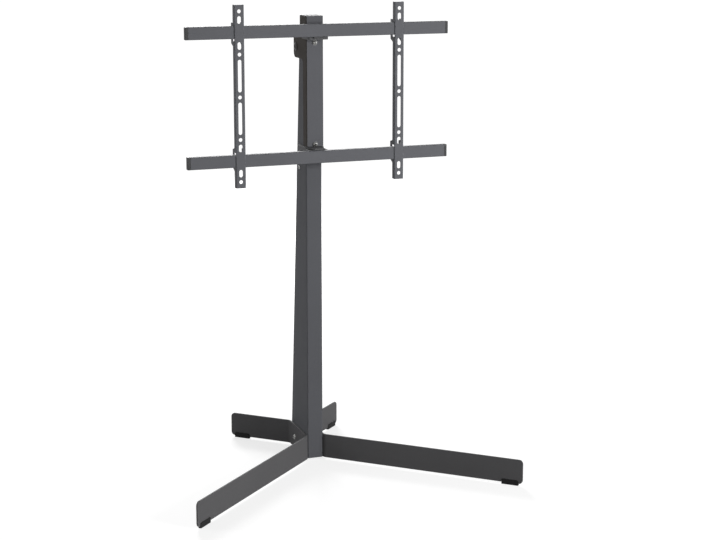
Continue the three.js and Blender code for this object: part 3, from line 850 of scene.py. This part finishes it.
def bored_hexagon(tree, across, bore, height):
    """A hexagon with its outer corners turned down, and a plain bore."""
    hexagon = rod(tree, hexagon_sides, times(tree, across, corner_share), height)
    face = times(tree, across, nut_face_share)
    wide = figure(tree, "ADD", times(tree, height, nut_chamfer_slope), face)
    chamfer = cone(tree, chamfer_sides, wide, face, height)
    upright = upward(tree, hexagon, times(tree, height, 0.5))
    whole = combined(tree, "INTERSECT", [upright, chamfer])
    inside = rod(tree, round_sides, times(tree, bore, 0.5), times(tree, height, 3.0))
    return combined(tree, "DIFFERENCE", [inside], whole)


def grown(tree, layout, values):
    """The plain mesh that a tree makes on a layout of points or edges."""
    carrier = set_out(layout.name, layout)
    maker = carrier.modifiers.new("maker", "NODES")
    maker.node_group = tree
    for item in tree.interface.items_tree:
        if item.item_type == "SOCKET" and item.in_out == "INPUT" and item.name in values:
            maker[item.identifier] = values[item.name]
    carrier.update_tag()
    data = as_made(carrier)
    bpy.data.objects.remove(carrier)
    return data


def fasteners(name, tree, sizes, places, plating, nodes):
    """Sets one fastener at each place (point, facing) and keeps them as one piece."""
    material, slot = plating
    layout = bpy.data.meshes.new(f"{name}_places")
    layout.from_pydata([place for place, facing in places], [], [])
    turned = layout.attributes.new("facing", "FLOAT_VECTOR", "POINT")
    for i, (place, facing) in enumerate(places):
        turned.data[i].vector = facing
    data = grown(tree, layout, {**sizes, "Material": material})
    finished(name, data, material, nodes, smooth_under=30.0)


def ring_sizes(diameter, hole_radius, height):
    return {"Diameter": diameter, "Bore": 2 * hole_radius, "Height": height}


bolt_sizes = ("Head diameter", "Head height", "Shank diameter", "Shank length", "Socket across")
socket_bolt = make_on_points("socket_bolt", bolt_sizes, button_bolt)
turned_ring = make_on_points("turned_ring", ("Diameter", "Bore", "Height"), bored_ring)
hexagon_nut = make_on_points("hexagon_nut", ("Across", "Bore", "Height"), bored_hexagon)
zinc_plate = plated_steel("bright_zinc", (0.22, 0.22, 0.215), metallic=0.9, dullness=0.29)
bright = (zinc_plate, "zinc")
toward_left = (-1.0, 0.0, 0.0)
toward_right = (1.0, 0.0, 0.0)
toward_front = (0.0, -1.0, 0.0)
toward_rear = (0.0, 1.0, 0.0)
strip_face = column_side + strip_sheet
places = []
nodes = []
for which, depth in base_bolt_depths.items():
    for side, hand, facing in ((-1, "left", toward_left), (1, "right", toward_right)):
        places.append(((side * strip_face, column_front + depth, base_bolt_height), facing))
        nodes.append(f"base_bolt_{hand}_{which}")
base_bolt = {**large_bolt, "Shank length": base_bolt_length}
fasteners("base_bolts", socket_bolt, base_bolt, places, bright, nodes)
crossbar_side = column_side - column_sheet
fasteners(
    "base_crossbars",
    turned_ring,
    ring_sizes(crossbar_diameter, large_bolt_hole, 2 * crossbar_side),
    [
        ((-crossbar_side, column_front + depth, base_bolt_height), toward_right)
        for depth in base_bolt_depths.values()
    ],
    bright,
    [f"base_crossbar_{which}" for which in base_bolt_depths],
)

# Side screws
# A small button-head screw in each side of the column, under the lower bracket. Bright zinc
# plated steel, screwed into a hole in the column's side.
side_screw = {
    "Shank diameter": 0.005,
    "Head diameter": 0.009,
    "Head height": 0.0026,
    "Socket across": 0.003,
    "Shank length": 0.008,
}
side_screw_place = (column_front + side_screw_depth, side_screw_height)
fasteners(
    "side_screws",
    socket_bolt,
    side_screw,
    [
        ((-column_side, *side_screw_place), toward_left),
        ((column_side, *side_screw_place), toward_right),
    ],
    bright,
    ["side_screw_left", "side_screw_right"],
)

# Spine
# A channel folded from thinner sheet that stands off the column's front and carries the upper
# bracket. Its flanges widen into two ears behind the column, and its top folds back as a lid over
# the column's open end. A notch at its foot slides down behind the lower bolt.
spine_sheet = 0.0015
spine_bend_radius = 0.0025
spine_standoff = 0.0085
spine_rim = 0.0002
spine_flange_depth = 0.016
spine_top_depth = 0.038
spine_corner_radius = 0.002
ear_reach = 0.086
ear_radius = 0.014
ear_neck_radius = 0.012
clamp_depth = 0.068
clamp_height = 1.0305
spine_notch_side = 0.0035
spine_bottom, spine_top = 0.794, 1.108
ear_bottom, ear_top = 1.0035, 1.0625
spine_front = spine_standoff + spine_sheet
spine_side = column_side + spine_sheet


def channel_line(side, web, rear, radius, middle=0.0):
    """A channel in plan: its web across the front and a flange back along each side."""
    return BentLine(
        [
            (middle - side, rear),
            (middle - side, web, radius),
            (middle + side, web, radius),
            (middle + side, rear),
        ]
    ).centred()


def flange_station(line, reach, depth):
    """The station on the right flange at a depth, where the line's last point lies at reach."""
    return line.stations[-1] - reach + depth


def both_sides(right_side, line, reach):
    """A blank's corners from those of its right side (depth, height, radius), listed upwards."""
    right = [(flange_station(line, reach, c[0]), *c[1:]) for c in right_side]
    return right + [(-c[0], *c[1:]) for c in reversed(right)]


def laid_flat(mesh, underside):
    """Turns a plate cut in X and Z so that it lies level, with its underside at a height."""
    for vert in mesh.verts:
        vert.co = (vert.co.x, vert.co.z, underside + vert.co.y)


def join_into(mesh, other):
    """Adds the other mesh's faces to the first."""
    data = kept("joined", other)
    mesh.from_mesh(data)
    bpy.data.meshes.remove(data)


line = channel_line(
    spine_side, column_front - spine_front, column_front + ear_reach, spine_bend_radius
)
corners = both_sides(
    [
        (spine_flange_depth, spine_bottom),
        (spine_flange_depth, ear_bottom, ear_neck_radius),
        (ear_reach, ear_bottom, ear_radius),
        (ear_reach, ear_top, ear_radius),
        (spine_top_depth, ear_top, spine_corner_radius),
        (spine_top_depth, spine_top, spine_corner_radius),
    ],
    line,
    ear_reach,
)
notch_top = spine_bolt_heights["lower"] + spine_notch_side
notch = [
    (-spine_notch_side, spine_bottom),
    (-spine_notch_side, notch_top, spine_notch_side),
    (spine_notch_side, notch_top, spine_notch_side),
    (spine_notch_side, spine_bottom),
]
clamp_station = flange_station(line, ear_reach, clamp_depth)
holes = [
    circle(0.0, spine_bolt_heights["upper"], small_bolt_hole),
    circle(clamp_station, clamp_height, large_bolt_hole),
    circle(-clamp_station, clamp_height, large_bolt_hole),
]
plate = cut_plate(rounded([*corners, *notch]), spine_sheet, spine_rim, holes)
fold(plate, line)
# The flange attribute marks the spine's flanges and ears, which get a darker painted shade.
flange_layer = plate.verts.layers.float.new("flange")
for vert in plate.verts:
    vert[flange_layer] = float(abs(vert.co.x) > column_side - same_point)
lid_front = (-column_side, column_front - spine_standoff)
lid_rear = (column_side, column_front + spine_top_depth)
lid_outline = rectangle(lid_front, lid_rear, 0.0, spine_corner_radius)
lid = cut_plate(lid_outline, spine_sheet, spine_rim)
laid_flat(lid, spine_top - spine_sheet)
join_into(plate, lid)
# The spine's face keeps the plain coat; its flanges and ears take a darker colour that is painted
# shade.
spine_paint = coated_steel(
    "spine_coat", (0.109, 0.111, 0.121), gloss=0.06, painted_shade_colour=(0.046, 0.041, 0.037)
)
finished("spine", plate, spine_paint, ["mount_spine"])

# Spine bolts
# Two bolts hold the spine to the column's front, each with a washer under its head, a round
# spacer behind the spine's face and a nut inside the column. Bright zinc plated steel.
washer_sheet = 0.0016
small_bolt = {
    "Shank diameter": 0.006,
    "Head diameter": 0.0105,
    "Head height": 0.0033,
    "Socket across": 0.004,
}
small_nut = {"Across": 0.010, "Bore": 2 * small_bolt_hole, "Height": 0.005}
small_washer_diameter = 0.012
bolt_past_nut = 0.003
spine_face = column_front - spine_front
spine_grip = washer_sheet + spine_front + column_sheet
spine_bolt_length = spine_grip + small_nut["Height"] + bolt_past_nut
spine_bolt = {**small_bolt, "Shank length": spine_bolt_length}
spine_washer = ring_sizes(small_washer_diameter, small_bolt_hole, washer_sheet)
spine_spacer = ring_sizes(small_washer_diameter, small_bolt_hole, spine_standoff)
for name, tree, sizes, y, facing in (
    ("bolt", socket_bolt, spine_bolt, spine_face - washer_sheet, toward_front),
    ("washer", turned_ring, spine_washer, spine_face, toward_front),
    ("spacer", turned_ring, spine_spacer, column_front, toward_front),
    ("nut", hexagon_nut, small_nut, column_front + column_sheet, toward_rear),
):
    fasteners(
        f"spine_{name}s",
        tree,
        sizes,
        [((0.0, y, z), facing) for z in spine_bolt_heights.values()],
        bright,
        [f"spine_{name}_{which}" for which in spine_bolt_heights],
    )

# Clamp bolt
# A long bolt through both ears draws them together round a sleeve behind the column. Black
# plated steel, with a washer on each side and a nut on the right.
large_nut = {"Across": 0.013, "Bore": 2 * large_bolt_hole, "Height": 0.0065}
clamp_head_height = 0.0022
clamp_washer_diameter = 0.021
sleeve_diameter = 0.014
black_plate = plated_steel("black_steel", (0.020, 0.019, 0.019), metallic=0.1, dullness=0.6)
black = (black_plate, "black_metal")


def cross_bolt(prefix, grip, sleeve_side, washer_diameter, bolt, depth, height):
    """A bolt across the column with two washers, a nut on the right and a sleeve in the middle."""
    seat = grip + washer_sheet
    bolt = {**bolt, "Shank length": 2 * seat + large_nut["Height"] + bolt_past_nut}
    washer = ring_sizes(washer_diameter, large_bolt_hole, washer_sheet)
    sleeve = ring_sizes(sleeve_diameter, large_bolt_hole, 2 * sleeve_side)
    for name, tree, sizes, places in (
        ("through_bolt", socket_bolt, bolt, {"bolt": (-seat, toward_left)}),
        (
            "washers",
            turned_ring,
            washer,
            {"washer_left": (-grip, toward_left), "washer_right": (grip, toward_right)},
        ),
        ("hexagon_nut", hexagon_nut, large_nut, {"nut": (seat, toward_right)}),
        ("spacing_sleeve", turned_ring, sleeve, {"sleeve": (-sleeve_side, toward_right)}),
    ):
        fasteners(
            f"{prefix}_{name}",
            tree,
            sizes,
            [((x, column_front + depth, height), facing) for x, facing in places.values()],
            black,
            [f"{prefix}_{node}" for node in places],
        )


cross_bolt(
    "clamp",
    grip=spine_side,
    sleeve_side=column_side,
    washer_diameter=clamp_washer_diameter,
    bolt={**large_bolt, "Head height": clamp_head_height},
    depth=clamp_depth,
    height=clamp_height,
)

# Bar brackets
# Thick plate bent into a U round the spine above and round the column below, its web welded to
# the bar's back, with a shelf plate welded on. A bolt across the column holds the lower one.
bracket_sheet = 0.004
bracket_bend_radius = 0.005
bracket_rim = 0.0005
bracket_cheek_radius = 0.006
bracket_reach = 0.0125
bar_from_column = 0.0375
bar_height = 0.030
top_bar_height, low_bar_height = 1.076, 0.774
upper_cheek_back = 0.012
upper_past_bar = 0.008
lower_cheek_back = 0.054
lower_slope_start = 0.002
shelf_front = 0.041
shelf_front_side = 0.012
shelf_gap = 0.0003
large_washer_diameter = 0.015
bracket_paint = coated_steel("bracket_coat", (0.086, 0.086, 0.089))
web_front = column_front - bar_from_column


def bracket(which, inside, cheek_back, web, cheeks, slope, shelf_rear, shelf_under, holes=()):
    """A plate bent to the inside width, welded to its shelf.

    The web and the cheeks each run from a low to a high height, and the slope between them runs
    from one depth to another, counted from the web's front. Holes are (depth, height).
    """
    outside = inside + bracket_sheet
    reach = bar_from_column + cheek_back
    line = channel_line(outside, web_front, web_front + reach, bracket_bend_radius)
    corners = both_sides(
        [
            (slope[0], web[0]),
            (slope[1], cheeks[0]),
            (reach, cheeks[0], bracket_cheek_radius),
            (reach, cheeks[1], bracket_cheek_radius),
            (slope[1], cheeks[1]),
            (slope[0], web[1]),
        ],
        line,
        reach,
    )
    drilled = []
    for depth, height in holes:
        station = flange_station(line, reach, bar_from_column + depth)
        drilled += [circle(place, height, large_bolt_hole) for place in (station, -station)]
    plate = cut_plate(rounded(corners), bracket_sheet, bracket_rim, drilled)
    fold(plate, line)
    shelf_outline = [
        (-shelf_front_side, column_front - shelf_front),
        (shelf_front_side, column_front - shelf_front),
        (outside, shelf_rear),
        (-outside, shelf_rear),
    ]
    shelf = cut_plate(shelf_outline, bracket_sheet, bracket_rim)
    laid_flat(shelf, shelf_under)
    join_into(plate, shelf)
    name, node = f"{which}_bracket", f"bar_bracket_{which}"
    finished(name, plate, bracket_paint, [node])


top_bar_foot = top_bar_height - bar_height / 2
upper_shelf_foot = top_bar_foot - bracket_sheet
upper_low = top_bar_foot - upper_past_bar
upper_high = top_bar_height + bracket_reach
upper_shelf_rear = bar_from_column - spine_front
bracket(
    "upper",
    inside=spine_side,
    cheek_back=upper_cheek_back,
    web=(upper_low, upper_high),
    cheeks=(upper_low, upper_high),
    slope=(upper_shelf_rear, upper_shelf_rear + shelf_gap),
    shelf_rear=column_front - spine_front - shelf_gap,
    shelf_under=upper_shelf_foot,
)
low_bar_top = low_bar_height + bar_height / 2
lower_low = low_bar_height - bracket_reach
lower_slope_end = bar_from_column - lower_slope_start
bracket(
    "lower",
    inside=column_side,
    cheek_back=lower_cheek_back,
    web=(lower_low, low_bar_top),
    cheeks=(lower_low, low_bar_top + bracket_sheet),
    slope=(lower_slope_end - bracket_sheet, lower_slope_end),
    shelf_rear=column_front - shelf_gap,
    shelf_under=low_bar_top,
    holes=[(bracket_bolt_depth, bracket_bolt_height)],
)
cross_bolt(
    "lower_bracket",
    grip=column_side + bracket_sheet,
    sleeve_side=column_side - column_sheet,
    washer_diameter=large_washer_diameter,
    bolt=large_bolt,
    depth=bracket_bolt_depth,
    height=bracket_bolt_height,
)

# Weld beads
# The brackets are welded to the backs of the bars. Each bead is a rippled run of weld with its
# ends tapering off, painted over with the bracket.
bead_radius = 0.0013
bead_pitch = 0.0022
bead_half_length = 0.0165
bead_sides = 14
bead_steps_per_ripple = 8
bead_ripple = 0.14
bead_taper_radii = 1.5
bead_end_share = 0.35


def wire_weld_bead(tree, path, radius, pitch, material):
    """A rippled round bead along each edge of the path."""
    curve = put(tree, "GeometryNodeMeshToCurve", {"Mesh": path}).outputs[0]
    wires = {"Curve": curve, "Length": times(tree, pitch, 1 / bead_steps_per_ripple)}
    fine = put(tree, "GeometryNodeResampleCurve", wires, mode="LENGTH").outputs[0]
    along = put(tree, "GeometryNodeSplineParameter").outputs["Length"]
    whole = put(tree, "GeometryNodeSplineLength").outputs["Length"]
    nearest_end = figure(tree, "MINIMUM", along, figure(tree, "SUBTRACT", whole, along))
    taper_length = times(tree, radius, bead_taper_radii)
    taper = spread(
        tree, nearest_end, bead_end_share, 1.0, 0.0, taper_length, interpolation_type="SMOOTHSTEP"
    )
    turn = times(tree, figure(tree, "DIVIDE", along, pitch), 2 * math.pi)
    wave = times(tree, figure(tree, "SINE", turn), bead_ripple)
    size = times(tree, figure(tree, "ADD", wave, 1.0), taper)
    wires = {"Resolution": bead_sides, "Radius": radius}
    section = put(tree, "GeometryNodeCurvePrimitiveCircle", wires).outputs[0]
    wires = {"Curve": fine, "Profile Curve": section, "Scale": size, "Fill Caps": True}
    tube = put(tree, "GeometryNodeCurveToMesh", wires).outputs[0]
    return made_real(tree, tube, material)


bead_inputs = {"Path": "Geometry", "Bead radius": "Float", "Ripple pitch": "Float"}
bead_inputs["Material"] = "Material"
weld_bead = make_group("weld_bead", bead_inputs, wire_weld_bead, shape_outputs, "Geometry")
bead = {"Bead radius": bead_radius, "Ripple pitch": bead_pitch, "Material": bracket_paint}
for which, seams in (("upper", (upper_high, upper_shelf_foot)), ("lower", (lower_low,))):
    layout = bpy.data.meshes.new(f"{which}_seams")
    ends = [(side * bead_half_length, web_front, z) for z in seams for side in (-1, 1)]
    layout.from_pydata(ends, [(2 * i, 2 * i + 1) for i in range(len(seams))], [])
    data = grown(weld_bead, layout, bead)
    name = f"{which}_bracket_weld"
    finished(name, data, bracket_paint, [], smooth_under=80.0)

# Cross bars
# Two rectangular steel tubes with round corners, each closed at both ends by a black plastic cap
# whose plug is pushed into the tube.
bar_length = 0.656
bar_depth = 0.015
bar_sheet = 0.0015
bar_corner_radius = 0.002
bar_inside_radius = 0.0005
bar_rim = 0.0002
cap_rim = 0.007
cap_plug = 0.016
cap_edge_radius = 0.001
plug_gap = 0.0003
plug_wall = 0.0015
bar_paint = coated_steel("bar_coat", (0.106, 0.108, 0.118))
cap_plastic = moulded_plastic("cap_plastic", (0.062, 0.062, 0.064), 2200.0, gloss=0.08)
bar_middle = web_front - bar_depth / 2
tube_end = bar_length / 2 - cap_rim
plug_inset = bar_sheet + plug_gap


def bar_section(inset, radius):
    side, rise = bar_depth / 2 - inset, bar_height / 2 - inset
    return rectangle((-side, -rise), (side, rise), radius, radius)


def along_bar(mesh, start, direction, height):
    """Turns a plate cut as a bar's section so that its thickness runs along the bar."""
    for vert in mesh.verts:
        a, b, c = vert.co
        vert.co = (start + direction * b, bar_middle + a, height + c)


outside = bar_section(0.0, bar_corner_radius)
tube_bore = bar_section(bar_sheet, bar_inside_radius)
plug_outside = bar_section(plug_inset, bar_inside_radius)
plug_bore = bar_section(plug_inset + plug_wall, bar_inside_radius)
for which, height in (("top", top_bar_height), ("bottom", low_bar_height)):
    tube = cut_plate(outside, 2 * tube_end, bar_rim, [tube_bore])
    along_bar(tube, -tube_end, 1, height)
    finished(f"{which}_tube", tube, bar_paint, [f"{which}_bar"])
    for side, hand in hands:
        cap = cut_plate(outside, cap_rim, cap_edge_radius, rim_steps=4)
        along_bar(cap, side * tube_end, side, height)
        plug = cut_plate(plug_outside, cap_plug + cap_rim / 2, bar_rim, [plug_bore])
        along_bar(plug, side * (tube_end - cap_plug), side, height)
        join_into(cap, plug)
        finished(
            f"{which}_cap_{hand}",
            cap,
            cap_plastic,
            [f"{which}_bar_cap_{hand}"],
            smooth_under=40.0,
        )

# Rails
# Two upright channels folded from sheet, punched with round holes at an even pitch and slots
# between them for the screen's screws. Each flange carries two closed hooks through which the
# bars pass, so a rail slides sideways along them.
rail_from_middle = 0.200
rail_middle_height = 0.925
rail_length = 0.430
rail_side = 0.012
rail_sheet = 0.002
rail_bend_radius = 0.0022
rail_rim = 0.0003
rail_gap = 0.0003
rail_flange_depth = 0.014
rail_hook_depth = 0.0285
rail_hook_radius = 0.002
hook_rear_gap = 0.0001
hook_loaded_gap = 0.0003
hook_free_gap = 0.005
bar_inner, bar_outer = 0.136, 0.166
top_hook_foot, top_hook_low, top_hook_high = 0.1184, 0.125, 0.173
low_hook_foot, low_hook_low = -0.176, -0.168
low_hook_high, low_hook_head = -0.124, -0.1205
hole_radius = 0.0045
round_hole_heights = (-0.200, -0.100, 0.0, 0.100, 0.200)
short_slot, long_slot = 0.0176, 0.076
slots = [(height, short_slot) for height in (-0.180, -0.120, 0.120, 0.180)]
slots += [(height, long_slot) for height in (-0.050, 0.050)]
rail_front = column_front - bar_from_column - bar_depth - rail_gap - rail_sheet


def slot_outline(middle, length, radius, steps=12):
    """A round-ended slot along the rail."""
    reach = length / 2 - radius
    points = []
    for end, start_turn in ((middle + reach, 0.0), (middle - reach, math.pi)):
        for step in range(steps + 1):
            turn = start_turn + math.pi * step / steps
            points.append(Vector((radius * math.cos(turn), end + radius * math.sin(turn))))
    return points


half = rail_length / 2
holes = [circle(0.0, z, hole_radius) for z in round_hole_heights]
holes += [slot_outline(z, length, hole_radius) for z, length in slots]
for side, hand in hands:
    middle = side * rail_from_middle
    line = channel_line(
        rail_side, rail_front, rail_front + rail_hook_depth, rail_bend_radius, middle
    )
    corners = both_sides(
        [
            (rail_flange_depth, -half),
            (rail_flange_depth, low_hook_foot),
            (rail_hook_depth, low_hook_low),
            (rail_hook_depth, low_hook_high),
            (rail_flange_depth, low_hook_head),
            (rail_flange_depth, top_hook_foot),
            (rail_hook_depth, top_hook_low),
            (rail_hook_depth, top_hook_high, rail_hook_radius),
            (rail_flange_depth, top_hook_high),
            (rail_flange_depth, half),
        ],
        line,
        rail_hook_depth,
    )
    window_near = flange_station(line, rail_hook_depth, rail_bend_radius)
    window_back = bar_depth + rail_gap + rail_sheet + hook_rear_gap
    window_far = flange_station(line, rail_hook_depth, window_back)
    windows = [
        rectangle((flip * window_near, low), (flip * window_far, high))
        for low, high in (
            (bar_inner - hook_free_gap, bar_outer + hook_loaded_gap),
            (-bar_outer - hook_loaded_gap, -bar_inner + hook_free_gap),
        )
        for flip in (-1, 1)
    ]
    plate = cut_plate(rounded(corners), rail_sheet, rail_rim, windows + holes)
    fold(plate, line)
    for vert in plate.verts:
        vert.co.z += rail_middle_height
    name = f"rail_{hand}"
    finished(f"slotted_{name}", plate, bar_paint, [name], body=name)

# Studio
# A pale paper floor that glows white only for the eye and for reflections, four soft lamps, and
# the camera at the photograph's viewing angle.
floor_half = 30.0
floor_colour = (0.35, 0.35, 0.35, 1.0)
floor_roughness = 0.9
glow_near, glow_far = 0.735, 1.0
glow_start, glow_end = 0.7, 4.5
white = (1.0, 1.0, 1.0, 1.0)
ambient = 0.15
lit_point = Vector((0.0, 0.0, 0.55))
lamps = {
    "front_right_lamp": {"place": (2.5, -3.0, 1.3), "size": 1.6, "power": 142.0},
    "front_left_lamp": {"place": (-1.5, -4.2, 1.6), "size": 2.4, "power": 32.0},
    "left_lamp": {"place": (-3.8, 1.2, 1.7), "size": 1.6, "power": 31.0},
    "rear_lamp": {"place": (0.5, 3.8, 2.0), "size": 1.6, "power": 210.0},
}
camera_place = (-1.2577, -3.6167, 1.3407)
camera_yaw = math.radians(20.495)
camera_dip = math.radians(10.393)
camera_focal_pixels = 1615.1
camera_shift = -0.08
photo_width = 716
sensor_width = 36.0


def seen_directly(tree):
    """One for the camera's rays and for those that leave metal or glass."""
    path = put(tree, "ShaderNodeLightPath").outputs
    seen = figure(tree, "MAXIMUM", path["Is Camera Ray"], path["Is Glossy Ray"])
    return figure(tree, "MAXIMUM", seen, path["Is Transmission Ray"])


floor_mesh = bmesh.new()
bmesh.ops.create_grid(floor_mesh, x_segments=1, y_segments=1, size=floor_half)
floor = set_out("floor", kept("floor", floor_mesh))
floor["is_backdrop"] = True
paper, tree, shader, place = open_material("pale_paper")
distance = put(tree, "ShaderNodeVectorMath", {0: place}, operation="LENGTH").outputs["Value"]
fade = spread(tree, distance, glow_near, glow_far, glow_start, glow_end)
look = {
    "Base Color": floor_colour,
    "Roughness": floor_roughness,
    "Specular IOR Level": 0.0,
    "Emission Color": white,
    "Emission Strength": times(tree, seen_directly(tree), fade),
}
fill(tree, shader, look)
floor.data.materials.append(paper)

world = bpy.data.worlds.new("studio")
world.use_nodes = True
bpy.context.scene.world = world
tree = world.node_tree
tree.nodes.clear()
strength = spread(tree, seen_directly(tree), ambient, 1.0, 0.0, 1.0)
sky = put(tree, "ShaderNodeBackground", {"Color": white, "Strength": strength})
put(tree, "ShaderNodeOutputWorld", {"Surface": sky.outputs[0]})

for name, lamp in lamps.items():
    data = bpy.data.lights.new(name, "AREA")
    data.shape = "SQUARE"
    data.size = lamp["size"]
    data.energy = lamp["power"]
    light = set_out(name, data)
    light.location = lamp["place"]
    toward = lit_point - Vector(lamp["place"])
    light.rotation_euler = toward.to_track_quat("-Z", "Y").to_euler()

camera_data = bpy.data.cameras.new("camera")
camera_data.sensor_width = sensor_width
camera_data.lens = camera_focal_pixels / photo_width * sensor_width
camera_data.shift_y = camera_shift
camera_data.clip_end = 200.0
camera = set_out("camera", camera_data)
camera.location = camera_place
camera.rotation_euler = (math.pi / 2 - camera_dip, 0.0, -camera_yaw)
bpy.context.scene.camera = camera
bpy.context.scene.view_settings.view_transform = "Standard"

sizes = {
    "cad": [list(corner) for corner in cad_bounds],
    "visual": [list(corner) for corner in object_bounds()],
}
